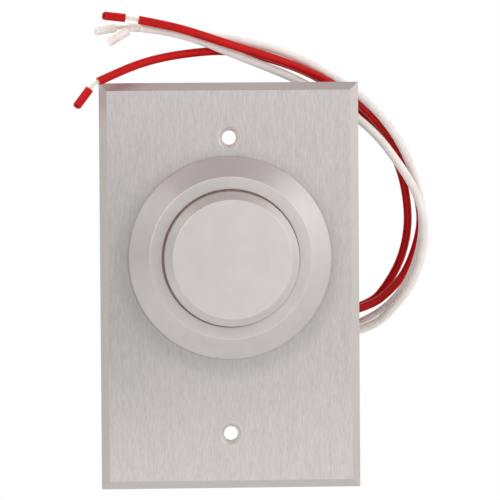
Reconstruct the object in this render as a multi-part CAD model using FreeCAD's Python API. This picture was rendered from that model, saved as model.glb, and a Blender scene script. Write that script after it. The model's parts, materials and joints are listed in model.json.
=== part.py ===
"""A wall plate with a large round push button that works a timed light switch.

The button slides in a collar clamped through the plate.  Behind the plate it
drives a piston in an air chamber, a return spring and a cam that works two
snap switches, each with its own pair of leads.

Millimetres.  X runs to the right, Y into the wall and Z up.  The origin lies on
the back of the plate, at the centre of its two box screws.
"""
import FreeCAD, Part
import math
import os

os.makedirs("parts", exist_ok=True)

# Wall plate
PLATE_WIDTH = 73.0
PLATE_HEIGHT = 114.3
PLATE_THICKNESS = 3.175
BEVEL_WIDTH = 2.25
BEVEL_DEPTH = 1.65
BOX_SCREW_SPACING = 83.34
BOX_SCREW_HOLE = 4.0
COUNTERSINK_DIAMETER = 6.3
COUNTERSINK_ANGLE = 82.0
BUTTON_HEIGHT = 7.94

# Collar, its threaded barrel and the ring nut
COLLAR_DIAMETER = 57.15
COLLAR_RIM = 1.0
COLLAR_RISE = 5.15
COLLAR_BORE = 38.5
COLLAR_LAND = 3.55
COLLAR_BORE_LENGTH = 7.3
COLLAR_EDGE_ROUND = 0.35
WIPER_FROM_FACE = 0.9
WIPER_THICKNESS = 1.6
WIPER_GROOVE_DEPTH = 1.3
WIPER_CLEARANCE = 0.08
WIPER_GROOVE_CLEARANCE = 0.05
STOP_SHOULDER = 1.5
BARREL_WALL = 2.25
BARREL_REACH = 18.0
BARREL_HOLE_CLEARANCE = 0.15
THREAD_CLEARANCE = 0.05
WASHER_WIDTH = 3.6
WASHER_THICKNESS = 1.0
WASHER_SPLIT = 2.0
NUT_WALL = 3.2
NUT_HEIGHT = 4.6
NUT_NOTCHES = 6
NUT_NOTCH_WIDTH = 4.0
NUT_NOTCH_DEPTH = 1.6
NUT_GAP = 0.4

# Button
BUTTON_CLEARANCE = 0.475
BUTTON_PROUD = 9.7
BUTTON_STROKE = 9.0
BUTTON_CHAMFER = 2.2
BUTTON_EDGE_ROUND = 0.4
BUTTON_WALL = 1.8
BUTTON_FRONT = 2.6
BUTTON_BOSS = 10.0
STUD_ENGAGEMENT = 8.0
STUD_SPACE = 1.0
FLANGE_THICKNESS = 2.0
FLANGE_CLEARANCE = 0.4
STOP_GAP = 0.1

# Piston, its cup seal, spring and rod
PISTON_THICKNESS = 3.0
CUP_BASE = 1.2
CUP_LIP = 3.0
CUP_LIP_WALL = 1.0
CUP_LIP_CLEARANCE = 0.08
SPRING_PLATE_DIAMETER = 22.0
SPRING_PLATE_THICKNESS = 1.0
SPRING_MEAN_DIAMETER = 18.0
SPRING_WIRE = 1.1
SPRING_TURNS = 5
SPRING_CORNERS = 6
SPRING_SEAT_GAP = 0.1
STUD_DIAMETER = 4.0
ROD_DIAMETER = 6.0
ROD_CLEARANCE = 0.05

# Housing: skirt, chamber end and switch compartment
SKIRT_WALL = 2.2
SKIRT_EDGE_ROUND = 1.0
GUSSET_THICKNESS = 1.6
GUSSET_SPACING = 12.0
GUSSET_LOWER_REACH = 11.0
GUSSET_LOWER_INSET = 2.0
GUSSET_UPPER_REACH = 9.0
GUSSET_UPPER_RISE = 8.0
GASKET_THICKNESS = 1.0
GASKET_CLEARANCE = 0.1
CHAMBER_END_SPACE = 3.0
FLOOR_THICKNESS = 2.5
BOX_HALF_WIDTH = 24.0
BOX_TOP = 20.0
BOX_BOTTOM = -27.0
BOX_DEPTH = 21.5
BOX_WALL = 1.8
BOX_CORNER = 3.0
BOX_INNER_CORNER = 2.0
BOX_FRONT_ROUND = 1.0
BOSS_DIAMETER = 5.6
BOSS_INSET = 3.6
COVER_THICKNESS = 1.6
COVER_STEP = 0.2
COVER_EDGE_ROUND = 0.6
COVER_SCREW = 2.5
COVER_SCREW_HEAD = 4.8
COVER_SCREW_HEAD_HEIGHT = 1.5
COVER_SCREW_LENGTH = 9.0
SCREW_HOLE_CLEARANCE = 0.25
SCREW_HEAD_TAPER = 0.72
SCREW_SLOT_SHARE = 0.25

# Rod bush and rod seal in the chamber floor
BUSH_DIAMETER = 10.0
BUSH_FLANGE_DIAMETER = 14.0
BUSH_FLANGE = 1.0
SEAL_DIAMETER = 8.6
SEAL_DEPTH = 1.5

# Check valve in the chamber floor
VALVE_OFFSET = 14.0
VALVE_STEM = 2.8
VALVE_BULB = 4.0
VALVE_BULB_LENGTH = 1.4
VALVE_CAP = 9.0
VALVE_CAP_THICKNESS = 1.0
VALVE_CAP_EDGE = 0.35
VALVE_CLEARANCE = 0.1
VALVE_PORTS = 4
VALVE_PORT = 1.2
VALVE_PORT_RADIUS = 2.9
VALVE_PORT_ANGLE = 45.0

# Needle valve that sets how slowly the button comes back
NEEDLE_OFFSET = 16.5
NEEDLE_BOSS = 9.0
NEEDLE_BOSS_LENGTH = 8.5
NEEDLE_DIAMETER = 5.0
NEEDLE_CLEARANCE = 0.05
NEEDLE_PROUD = 2.5
NEEDLE_SEAT = 1.6
NEEDLE_TIP = 1.2
NEEDLE_CONE = 2.2
NEEDLE_SLOT_WIDTH = 0.8
NEEDLE_SLOT_DEPTH = 1.0
NEEDLE_GROOVE_FROM_END = 4.6
NEEDLE_GROOVE_WIDTH = 1.2
NEEDLE_GROOVE_DEPTH = 0.8

# Snap switches, one above the other beside the rod
WIRING_SPACE = 4.2
SWITCH_BODY = 10.0
SWITCH_LENGTH = 19.5
SWITCH_THICKNESS = 6.3
SWITCH_PITCH = 6.4
SWITCH_UPPER_HEIGHT = -10.6
SWITCH_FLOOR_GAP = 1.5
PIN_FROM_END = 6.5
PIN_DIAMETER = 2.4
PIN_PROUD = 1.45
PIN_LENGTH = 4.2
PIN_HOLE_DEPTH = 4.0
PIN_CLEARANCE = 0.05
PIN_DOME = 2.0
PIVOT_FROM_END = 2.0
PIVOT_STANDOFF = 1.0
PIVOT_PIN = 0.7
PIVOT_EYE = 1.5
PIVOT_CLEARANCE = 0.05
LEVER_THICKNESS = 0.4
LEVER_WIDTH = 3.8
LEVER_GAP = 0.05
LEVER_NOSE_ARM = 8.0
LEVER_NOSE_RADIUS = 0.9
LEVER_NOSE_REACH = 1.4
LEVER_SWING = 7.63
EAR_WIDTH = 1.0
EAR_LENGTH = 2.4
EAR_GAP = 0.1

# Actuator arm on the rod, with a wedge that lifts both lever noses
ARM_HUB = 12.0
ARM_HUB_LENGTH = 5.0
ARM_FLOOR_GAP = 1.7
ARM_WIDTH = 8.0
ARM_THICKNESS = 4.0
CAM_GAP = 0.1
CAM_BACK = 1.0
CAM_OVERRUN = 0.5
CLIP_DIAMETER = 9.0
CLIP_THICKNESS = 0.8
CLIP_MOUTH = 4.2
CLIP_CLEARANCE = 0.05
ROD_GROOVE_DEPTH = 0.6
ROD_TAIL = 1.0

# Switch bracket and its screws
BRACKET_THICKNESS = 1.2
BRACKET_FOOT = 12.0
BRACKET_BOSS_HEIGHT = 3.0
BRACKET_BOSS = 5.2
BRACKET_SCREW = 2.5
BRACKET_SCREW_HEAD = 4.4
BRACKET_SCREW_HEAD_HEIGHT = 1.4
BRACKET_SCREW_DEPTH = 4.0
BRACKET_SCREW_SPACING = 5.4
SWITCH_SCREW = 2.3
SWITCH_SCREW_SPACING = 9.5
SWITCH_SCREW_FROM_FACE = 7.5
SWITCH_SCREW_FROM_END = 4.8
SWITCH_SCREW_HEAD = 4.0
SWITCH_SCREW_HEAD_HEIGHT = 1.4
SWITCH_SCREW_PAST = 0.6

# Leads
LEAD_DIAMETER = 2.4
STRAND_DIAMETER = 1.15
LEAD_FRONT_FROM_END = 3.0
LEAD_REAR_FROM_END = 10.0
LEAD_STRAIGHT = 12.0
ARC_SHARE = 0.45
STRIP_STRAIGHT = 1.6
STRIP_LENGTH = 3.4
SLUG_LENGTH = 6.3
GROMMET_MARGIN = 2.2
GROMMET_LIP = 1.0
GROMMET_LIP_THICKNESS = 1.1
GROMMET_CLEARANCE = 0.1
GROMMET_CORNER = 1.5
GROMMET_EDGE_ROUND = 0.4

# Diameters that follow from the collar's bore
COLLAR_FACE_DIAMETER = COLLAR_BORE + 2 * COLLAR_LAND
CHAMBER_BORE = COLLAR_BORE + 2 * STOP_SHOULDER
BARREL_DIAMETER = CHAMBER_BORE + 2 * BARREL_WALL

# Stations, worked out from the sizes above
PLATE_FRONT = -PLATE_THICKNESS
COLLAR_FACE = PLATE_FRONT - COLLAR_RISE
SHOULDER = COLLAR_FACE + COLLAR_BORE_LENGTH
FLANGE_FACE = SHOULDER + STOP_GAP
FLANGE_BACK = FLANGE_FACE + FLANGE_THICKNESS
BUTTON_FACE = COLLAR_FACE - BUTTON_PROUD
WIPER_FRONT = COLLAR_FACE + WIPER_FROM_FACE
WIPER_BACK = WIPER_FRONT + WIPER_THICKNESS
PISTON_BACK = FLANGE_BACK + PISTON_THICKNESS
CUP_BACK = PISTON_BACK + CUP_BASE
ROD_SHOULDER = CUP_BACK + SPRING_PLATE_THICKNESS
GASKET_BACK = BARREL_REACH + GASKET_THICKNESS
FLOOR_FRONT = GASKET_BACK + CHAMBER_END_SPACE
FLOOR_BACK = FLOOR_FRONT + FLOOR_THICKNESS
BOX_REAR = FLOOR_BACK + BOX_DEPTH
NUT_BACK = WASHER_THICKNESS + NUT_HEIGHT
SWITCH_FRONT = FLOOR_BACK + SWITCH_FLOOR_GAP
SWITCH_REAR = SWITCH_FRONT + SWITCH_LENGTH
SWITCH_FACE = BOX_HALF_WIDTH - BOX_WALL - WIRING_SPACE - SWITCH_BODY
SWITCH_BACK = SWITCH_FACE + SWITCH_BODY
PIVOT_Y = SWITCH_FRONT + PIVOT_FROM_END
PIVOT_X = SWITCH_FACE - PIVOT_STANDOFF
PIN_Y = SWITCH_FRONT + PIN_FROM_END
BLADE_BACK = SWITCH_FACE - PIN_PROUD - LEVER_GAP
BLADE_FRONT = BLADE_BACK - LEVER_THICKNESS
NOSE_Y = PIVOT_Y + LEVER_NOSE_ARM
NOSE_X = BLADE_BACK - LEVER_NOSE_REACH
ARM_FRONT = FLOOR_BACK + ARM_FLOOR_GAP
HUB_BACK = ARM_FRONT + ARM_HUB_LENGTH
CLIP_BACK = HUB_BACK + CLIP_THICKNESS
ROD_END = CLIP_BACK + ROD_TAIL
NOSE_LIFT = LEVER_NOSE_ARM * math.sin(math.radians(LEVER_SWING))
CAM_SLOPE = NOSE_LIFT / BUTTON_STROKE
SWITCH_LOWER_HEIGHT = SWITCH_UPPER_HEIGHT - SWITCH_PITCH
SWITCH_HEIGHTS = {"upper": SWITCH_UPPER_HEIGHT, "lower": SWITCH_LOWER_HEIGHT}
SWITCH_TOP = SWITCH_UPPER_HEIGHT + SWITCH_THICKNESS / 2
SWITCH_BOTTOM = SWITCH_LOWER_HEIGHT - SWITCH_THICKNESS / 2
BRACKET_TOP = SWITCH_TOP + BRACKET_THICKNESS
BRACKET_FRONT = FLOOR_BACK + BRACKET_BOSS_HEIGHT

TOLERANCE = 1e-4
X_AXIS = FreeCAD.Vector(1, 0, 0)
Y_AXIS = FreeCAD.Vector(0, 1, 0)
Z_AXIS = FreeCAD.Vector(0, 0, 1)


def point(x, y, z):
    return FreeCAD.Vector(x, y, z)


def save(shape, name):
    """Write one piece, after checking that it is sound."""
    clean = shape.removeSplitter()
    if not clean.isValid() or not clean.Solids:
        raise ValueError("unsound piece: " + name)
    clean.exportStep("parts/" + name + ".step")


def turned(profile, x=0.0, z=BUTTON_HEIGHT):
    """Revolve a closed profile of (y, radius) corners about a line along Y."""
    corners = [point(x + radius, y, z) for y, radius in profile]
    face = Part.Face(Part.makePolygon(corners + corners[:1]))
    return face.revolve(point(x, 0, z), Y_AXIS, 360)


def rod_y(diameter, start, end, x=0.0, z=BUTTON_HEIGHT):
    return Part.makeCylinder(diameter / 2, end - start, point(x, start, z), Y_AXIS)


def rod_z(diameter, start, end, x, y):
    return Part.makeCylinder(diameter / 2, end - start, point(x, y, start), Z_AXIS)


def block(x_range, y_range, z_range):
    size = [high - low for low, high in (x_range, y_range, z_range)]
    return Part.makeBox(*size, point(x_range[0], y_range[0], z_range[0]))


def edges_at(shape, y, radius):
    """Circular edges of one radius that lie in one plane across the button axis."""
    found = []
    for edge in shape.Edges:
        curve = edge.Curve
        if not isinstance(curve, Part.Circle):
            continue
        if abs(curve.Radius - radius) < TOLERANCE and abs(curve.Center.y - y) < TOLERANCE:
            found.append(edge)
    return found


def edges_along(shape, axis):
    """Straight edges that run along an axis."""
    straight = [edge for edge in shape.Edges if isinstance(edge.Curve, Part.Line)]
    return [edge for edge in straight if abs(edge.Curve.Direction.dot(axis)) > 1 - TOLERANCE]


def edges_in_plane(shape, normal, distance):
    """Edges that lie in a plane across a unit normal, at a distance from the origin."""
    return [edge for edge in shape.Edges
            if all(abs(spot.dot(normal) - distance) < TOLERANCE for spot in edge.discretize(3))]


def screw_y(diameter, head, head_height, shank_start, seat, x, z):
    """Pan head screw driven towards the front: its head bears on the seat from behind."""
    shank = rod_y(diameter, shank_start, seat, x, z)
    dome = Part.makeCone(head / 2, head / 2 * SCREW_HEAD_TAPER, head_height, point(x, seat, z), Y_AXIS)
    slot_half = diameter * SCREW_SLOT_SHARE / 2
    slot = block((x - head, x + head), (seat + head_height / 2, seat + head_height),
                 (z - slot_half, z + slot_half))
    return shank.fuse(dome).cut(slot)


def box_corners():
    """Centres of the four cover screws."""
    across = BOX_HALF_WIDTH - BOSS_INSET
    return [(x, z) for x in (-across, across) for z in (BOX_BOTTOM + BOSS_INSET, BOX_TOP - BOSS_INSET)]


def wall_plate():
    half_w = PLATE_WIDTH / 2
    half_h = PLATE_HEIGHT / 2
    edge_y = PLATE_FRONT + BEVEL_DEPTH
    slab = block((-half_w, half_w), (edge_y, 0), (-half_h, half_h))

    def outline(inset, y):
        w = half_w - inset
        h = half_h - inset
        corners = [point(-w, y, -h), point(w, y, -h), point(w, y, h), point(-w, y, h)]
        return Part.makePolygon(corners + corners[:1])

    raised = Part.makeLoft([outline(0, edge_y), outline(BEVEL_WIDTH, PLATE_FRONT)], True, True)
    plate = slab.fuse(raised)
    sink_slope = math.tan(math.radians(COUNTERSINK_ANGLE / 2))
    sink_depth = (COUNTERSINK_DIAMETER - BOX_SCREW_HOLE) / 2 / sink_slope
    for side in (-1, 1):
        z = side * BOX_SCREW_SPACING / 2
        plate = plate.cut(rod_y(BOX_SCREW_HOLE, PLATE_FRONT, 0, 0, z))
        sink = Part.makeCone(COUNTERSINK_DIAMETER / 2, BOX_SCREW_HOLE / 2, sink_depth,
                             point(0, PLATE_FRONT, z), Y_AXIS)
        plate = plate.cut(sink)
    barrel_hole = BARREL_DIAMETER + 2 * BARREL_HOLE_CLEARANCE
    return plate.cut(rod_y(barrel_hole, PLATE_FRONT, 0))


def collar():
    base = COLLAR_DIAMETER / 2
    face = COLLAR_FACE_DIAMETER / 2
    bore = COLLAR_BORE / 2
    rim_y = PLATE_FRONT - COLLAR_RIM
    ring = turned([
        (COLLAR_FACE, bore),
        (COLLAR_FACE, face),
        (rim_y, base),
        (PLATE_FRONT, base),
        (PLATE_FRONT, BARREL_DIAMETER / 2),
        (BARREL_REACH, BARREL_DIAMETER / 2),
        (BARREL_REACH, CHAMBER_BORE / 2),
        (SHOULDER, CHAMBER_BORE / 2),
        (SHOULDER, bore),
        (WIPER_BACK, bore),
        (WIPER_BACK, bore + WIPER_GROOVE_DEPTH),
        (WIPER_FRONT, bore + WIPER_GROOVE_DEPTH),
        (WIPER_FRONT, bore),
    ])
    worn = edges_at(ring, COLLAR_FACE, face) + edges_at(ring, COLLAR_FACE, bore)
    return ring.makeFillet(COLLAR_EDGE_ROUND, worn + edges_at(ring, rim_y, base))


def wiper_ring():
    """Felt ring in the collar's groove that keeps dust out of the bore."""
    inner = COLLAR_BORE - 2 * BUTTON_CLEARANCE + 2 * WIPER_CLEARANCE
    outer = COLLAR_BORE + 2 * WIPER_GROOVE_DEPTH - 2 * WIPER_GROOVE_CLEARANCE
    return rod_y(outer, WIPER_FRONT, WIPER_BACK).cut(rod_y(inner, WIPER_FRONT, WIPER_BACK))


def lock_washer():
    inner = BARREL_DIAMETER + 2 * BARREL_HOLE_CLEARANCE
    ring = rod_y(inner + 2 * WASHER_WIDTH, 0, WASHER_THICKNESS).cut(rod_y(inner, 0, WASHER_THICKNESS))
    split = block((-WASHER_SPLIT / 2, WASHER_SPLIT / 2), (0, WASHER_THICKNESS),
                  (BUTTON_HEIGHT, BUTTON_HEIGHT + inner))
    return ring.cut(split)


def barrel_nut():
    inner = BARREL_DIAMETER + 2 * THREAD_CLEARANCE
    outer = inner + 2 * NUT_WALL
    nut = rod_y(outer, WASHER_THICKNESS, NUT_BACK).cut(rod_y(inner, WASHER_THICKNESS, NUT_BACK))
    notch = block((outer / 2 - NUT_NOTCH_DEPTH, outer), (WASHER_THICKNESS, NUT_BACK),
                  (BUTTON_HEIGHT - NUT_NOTCH_WIDTH / 2, BUTTON_HEIGHT + NUT_NOTCH_WIDTH / 2))
    for number in range(NUT_NOTCHES):
        turn = notch.copy()
        turn.rotate(point(0, 0, BUTTON_HEIGHT), Y_AXIS, number * 360 / NUT_NOTCHES)
        nut = nut.cut(turn)
    return nut


def button_cap():
    side = COLLAR_BORE / 2 - BUTTON_CLEARANCE
    flange = CHAMBER_BORE / 2 - FLANGE_CLEARANCE
    inside = side - BUTTON_WALL
    boss = BUTTON_BOSS / 2
    chamfer_y = BUTTON_FACE + BUTTON_CHAMFER
    face = side - BUTTON_CHAMFER
    floor_y = BUTTON_FACE + BUTTON_FRONT
    cap = turned([
        (BUTTON_FACE, 0),
        (BUTTON_FACE, face),
        (chamfer_y, side),
        (FLANGE_FACE, side),
        (FLANGE_FACE, flange),
        (FLANGE_BACK, flange),
        (FLANGE_BACK, inside),
        (floor_y, inside),
        (floor_y, boss),
        (FLANGE_BACK, boss),
        (FLANGE_BACK, 0),
    ])
    worn = edges_at(cap, BUTTON_FACE, face) + edges_at(cap, chamfer_y, side)
    cap = cap.makeFillet(BUTTON_EDGE_ROUND, worn)
    socket = STUD_DIAMETER + 2 * THREAD_CLEARANCE
    return cap.cut(rod_y(socket, FLANGE_BACK - STUD_ENGAGEMENT - STUD_SPACE, FLANGE_BACK))


def stud_hole(start, end):
    return rod_y(STUD_DIAMETER + 2 * THREAD_CLEARANCE, start, end)


def piston():
    disc = rod_y(CHAMBER_BORE - 2 * FLANGE_CLEARANCE, FLANGE_BACK, PISTON_BACK)
    return disc.cut(stud_hole(FLANGE_BACK, PISTON_BACK))


def piston_cup():
    """Rubber cup whose lip faces the closed end of the chamber."""
    lip = CHAMBER_BORE / 2 - CUP_LIP_CLEARANCE
    rim = CHAMBER_BORE / 2 - FLANGE_CLEARANCE
    lip_end = CUP_BACK + CUP_LIP
    hole = STUD_DIAMETER / 2 + THREAD_CLEARANCE
    return turned([
        (PISTON_BACK, hole),
        (PISTON_BACK, rim),
        (CUP_BACK, rim),
        (lip_end, lip),
        (lip_end, lip - CUP_LIP_WALL / 2),
        (CUP_BACK, rim - CUP_LIP_WALL),
        (CUP_BACK, hole),
    ])


def spring_plate():
    disc = rod_y(SPRING_PLATE_DIAMETER, CUP_BACK, ROD_SHOULDER)
    return disc.cut(stud_hole(CUP_BACK, ROD_SHOULDER))


def return_spring():
    """Coil between the plate on the piston and the chamber floor, as a run of arcs."""
    start = ROD_SHOULDER + SPRING_SEAT_GAP + SPRING_WIRE / 2
    end = FLOOR_FRONT - SPRING_SEAT_GAP - SPRING_WIRE / 2
    mean = SPRING_MEAN_DIAMETER / 2
    corner_radius = mean / math.cos(math.pi / SPRING_CORNERS)
    count = SPRING_TURNS * SPRING_CORNERS
    places = [(0, mean)] + [(number + 0.5, corner_radius) for number in range(count)] + [(count, mean)]
    route = []
    for number, radius in places:
        angle = 2 * math.pi * number / SPRING_CORNERS
        y = start + (end - start) * number / count
        route.append(point(radius * math.cos(angle), y, BUTTON_HEIGHT + radius * math.sin(angle)))
    return tube(route, SPRING_WIRE, "return_spring")


def piston_rod():
    """Rod with a stud for the button at one end and a clip groove at the other."""
    stud_start = FLANGE_BACK - STUD_ENGAGEMENT
    rod = rod_y(STUD_DIAMETER, stud_start, ROD_SHOULDER).fuse(rod_y(ROD_DIAMETER, ROD_SHOULDER, ROD_END))
    groove = rod_y(ROD_DIAMETER, HUB_BACK, CLIP_BACK)
    core = rod_y(ROD_DIAMETER - 2 * ROD_GROOVE_DEPTH, HUB_BACK, CLIP_BACK)
    return rod.cut(groove.cut(core))


def chamber_gasket():
    outer = BARREL_DIAMETER - 2 * GASKET_CLEARANCE
    inner = CHAMBER_BORE + 2 * GASKET_CLEARANCE
    return rod_y(outer, BARREL_REACH, GASKET_BACK).cut(rod_y(inner, BARREL_REACH, GASKET_BACK))


def rounded_box(x_range, y_range, z_range, radius, axis=Y_AXIS):
    """Box with its four edges along an axis rounded."""
    shape = block(x_range, y_range, z_range)
    return shape.makeFillet(radius, edges_along(shape, axis))


def gusset(x, corners):
    """Thin rib across X between three or more (y, z) corners, centred on x."""
    places = [point(x - GUSSET_THICKNESS / 2, y, z) for y, z in corners]
    face = Part.Face(Part.makePolygon(places + places[:1]))
    return face.extrude(X_AXIS * GUSSET_THICKNESS)


def gussets():
    """Ribs that brace the chamber against the switch compartment, below and above it."""
    wall = BUTTON_HEIGHT - CHAMBER_BORE / 2
    below = [(FLOOR_FRONT, BOX_BOTTOM + GUSSET_LOWER_INSET), (FLOOR_FRONT, wall),
             (FLOOR_FRONT - GUSSET_LOWER_REACH, wall)]
    above = [(FLOOR_BACK, BOX_TOP - BOX_WALL), (FLOOR_BACK + GUSSET_UPPER_REACH, BOX_TOP),
             (FLOOR_BACK, BOX_TOP + GUSSET_UPPER_RISE)]
    ribs = [gusset(side * GUSSET_SPACING, below) for side in (-1, 0, 1)]
    return ribs + [gusset(side * GUSSET_SPACING, above) for side in (-1, 1)]


def grommet_window(margin):
    """Y and Z ranges of the lead window in the right-hand wall, grown by a margin."""
    y_low = lead_start_y("front") - GROMMET_MARGIN - margin
    y_high = lead_start_y("rear") + GROMMET_MARGIN + margin
    z_low = SWITCH_LOWER_HEIGHT - GROMMET_MARGIN - margin
    z_high = SWITCH_UPPER_HEIGHT + GROMMET_MARGIN + margin
    return (y_low, y_high), (z_low, z_high)


def bracket_screw_places():
    middle = SWITCH_FACE + SWITCH_BODY / 2
    z = BRACKET_TOP + BRACKET_FOOT / 2
    return [(middle + side * BRACKET_SCREW_SPACING / 2, z) for side in (-1, 1)]


def housing():
    """One moulding: skirt on the barrel, closed end of the air chamber, switch compartment."""
    skirt_inner = BARREL_DIAMETER + 2 * THREAD_CLEARANCE
    skirt_outer = skirt_inner + 2 * SKIRT_WALL
    skirt_front = NUT_BACK + NUT_GAP
    body = rod_y(skirt_outer, skirt_front, FLOOR_BACK)
    body = body.makeFillet(SKIRT_EDGE_ROUND, edges_at(body, FLOOR_BACK, skirt_outer / 2))
    outer = rounded_box((-BOX_HALF_WIDTH, BOX_HALF_WIDTH), (FLOOR_FRONT, BOX_REAR),
                        (BOX_BOTTOM, BOX_TOP), BOX_CORNER)
    outer = outer.makeFillet(BOX_FRONT_ROUND, edges_in_plane(outer, Y_AXIS, FLOOR_FRONT))
    needle_z = BUTTON_HEIGHT + NEEDLE_OFFSET
    needle_boss = rod_y(NEEDLE_BOSS, FLOOR_FRONT, FLOOR_BACK + NEEDLE_BOSS_LENGTH, 0, needle_z)
    inner_half = BOX_HALF_WIDTH - BOX_WALL
    inner = rounded_box((-inner_half, inner_half), (FLOOR_BACK, BOX_REAR),
                        (BOX_BOTTOM + BOX_WALL, BOX_TOP - BOX_WALL), BOX_INNER_CORNER)
    body = body.fuse([outer] + gussets()).cut(inner)
    for x, z in box_corners():
        body = body.fuse(rod_y(BOSS_DIAMETER, FLOOR_BACK, BOX_REAR, x, z))
    for x, z in bracket_screw_places():
        body = body.fuse(rod_y(BRACKET_BOSS, FLOOR_BACK, BRACKET_FRONT, x, z))
    body = body.fuse(needle_boss)
    for x, z in box_corners():
        pilot = COVER_SCREW + 2 * THREAD_CLEARANCE
        body = body.cut(rod_y(pilot, BOX_REAR - COVER_SCREW_LENGTH, BOX_REAR, x, z))
    for x, z in bracket_screw_places():
        pilot = BRACKET_SCREW + 2 * THREAD_CLEARANCE
        body = body.cut(rod_y(pilot, BRACKET_FRONT - BRACKET_SCREW_DEPTH, BRACKET_FRONT, x, z))
    body = body.cut(rod_y(skirt_inner, skirt_front, GASKET_BACK))
    body = body.cut(rod_y(CHAMBER_BORE, GASKET_BACK, FLOOR_FRONT))
    body = body.cut(rod_y(BUSH_DIAMETER, FLOOR_FRONT, FLOOR_BACK))
    body = body.cut(rod_y(VALVE_STEM + 2 * VALVE_CLEARANCE, FLOOR_FRONT, FLOOR_BACK, -VALVE_OFFSET))
    for number in range(VALVE_PORTS):
        angle = math.radians(VALVE_PORT_ANGLE + number * 360 / VALVE_PORTS)
        x = -VALVE_OFFSET + VALVE_PORT_RADIUS * math.cos(angle)
        z = BUTTON_HEIGHT + VALVE_PORT_RADIUS * math.sin(angle)
        body = body.cut(rod_y(VALVE_PORT, FLOOR_FRONT, FLOOR_BACK, x, z))
    body = body.cut(rod_y(NEEDLE_SEAT, FLOOR_FRONT, FLOOR_BACK, 0, needle_z))
    needle_bore = NEEDLE_DIAMETER + 2 * NEEDLE_CLEARANCE
    body = body.cut(rod_y(needle_bore, FLOOR_BACK, FLOOR_BACK + NEEDLE_BOSS_LENGTH, 0, needle_z))
    y_range, z_range = grommet_window(0)
    return body.cut(rounded_box((inner_half, BOX_HALF_WIDTH), y_range, z_range, GROMMET_CORNER, X_AXIS))


def rod_bush():
    """Plain bearing for the rod, with a pocket for its seal at the back."""
    bore = ROD_DIAMETER / 2 + ROD_CLEARANCE
    flange_front = FLOOR_FRONT - BUSH_FLANGE
    seal_front = FLOOR_BACK - SEAL_DEPTH
    return turned([
        (flange_front, bore),
        (flange_front, BUSH_FLANGE_DIAMETER / 2),
        (FLOOR_FRONT, BUSH_FLANGE_DIAMETER / 2),
        (FLOOR_FRONT, BUSH_DIAMETER / 2),
        (FLOOR_BACK, BUSH_DIAMETER / 2),
        (FLOOR_BACK, SEAL_DIAMETER / 2),
        (seal_front, SEAL_DIAMETER / 2),
        (seal_front, bore),
    ])


def rod_seal():
    bore = ROD_DIAMETER + 2 * ROD_CLEARANCE
    return rod_y(SEAL_DIAMETER, FLOOR_BACK - SEAL_DEPTH, FLOOR_BACK).cut(
        rod_y(bore, FLOOR_BACK - SEAL_DEPTH, FLOOR_BACK))


def check_valve():
    """Umbrella valve: lets the air out quickly as the button goes in."""
    bulb_front = FLOOR_FRONT - VALVE_BULB_LENGTH
    return turned([
        (bulb_front, 0),
        (bulb_front, VALVE_STEM / 2),
        (FLOOR_FRONT, VALVE_BULB / 2),
        (FLOOR_FRONT, VALVE_STEM / 2),
        (FLOOR_BACK, VALVE_STEM / 2),
        (FLOOR_BACK, VALVE_CAP / 2),
        (FLOOR_BACK + VALVE_CAP_EDGE, VALVE_CAP / 2),
        (FLOOR_BACK + VALVE_CAP_THICKNESS, VALVE_STEM / 2),
        (FLOOR_BACK + VALVE_CAP_THICKNESS, 0),
    ], -VALVE_OFFSET)


def needle_stations():
    """Front of the thread, groove and rear end of the needle screw along Y."""
    end = FLOOR_BACK + NEEDLE_BOSS_LENGTH + NEEDLE_PROUD
    groove = end - NEEDLE_GROOVE_FROM_END
    return groove, groove + NEEDLE_GROOVE_WIDTH, end


def needle_screw():
    z = BUTTON_HEIGHT + NEEDLE_OFFSET
    groove_start, groove_end, end = needle_stations()
    radius = NEEDLE_DIAMETER / 2
    core = radius - NEEDLE_GROOVE_DEPTH
    tip_start = FLOOR_BACK - NEEDLE_CONE / 2
    screw = turned([
        (tip_start, 0),
        (tip_start, NEEDLE_TIP / 4),
        (tip_start + NEEDLE_CONE, NEEDLE_TIP / 2),
        (tip_start + NEEDLE_CONE, radius),
        (groove_start, radius),
        (groove_start, core),
        (groove_end, core),
        (groove_end, radius),
        (end, radius),
        (end, 0),
    ], 0, z)
    slot = block((-radius, radius), (end - NEEDLE_SLOT_DEPTH, end),
                 (z - NEEDLE_SLOT_WIDTH / 2, z + NEEDLE_SLOT_WIDTH / 2))
    return screw.cut(slot)


def needle_seal():
    z = BUTTON_HEIGHT + NEEDLE_OFFSET
    groove_start, groove_end, _ = needle_stations()
    ring = rod_y(NEEDLE_DIAMETER, groove_start, groove_end, 0, z)
    hole = rod_y(NEEDLE_DIAMETER - 2 * NEEDLE_GROOVE_DEPTH, groove_start, groove_end, 0, z)
    return ring.cut(hole)


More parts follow.
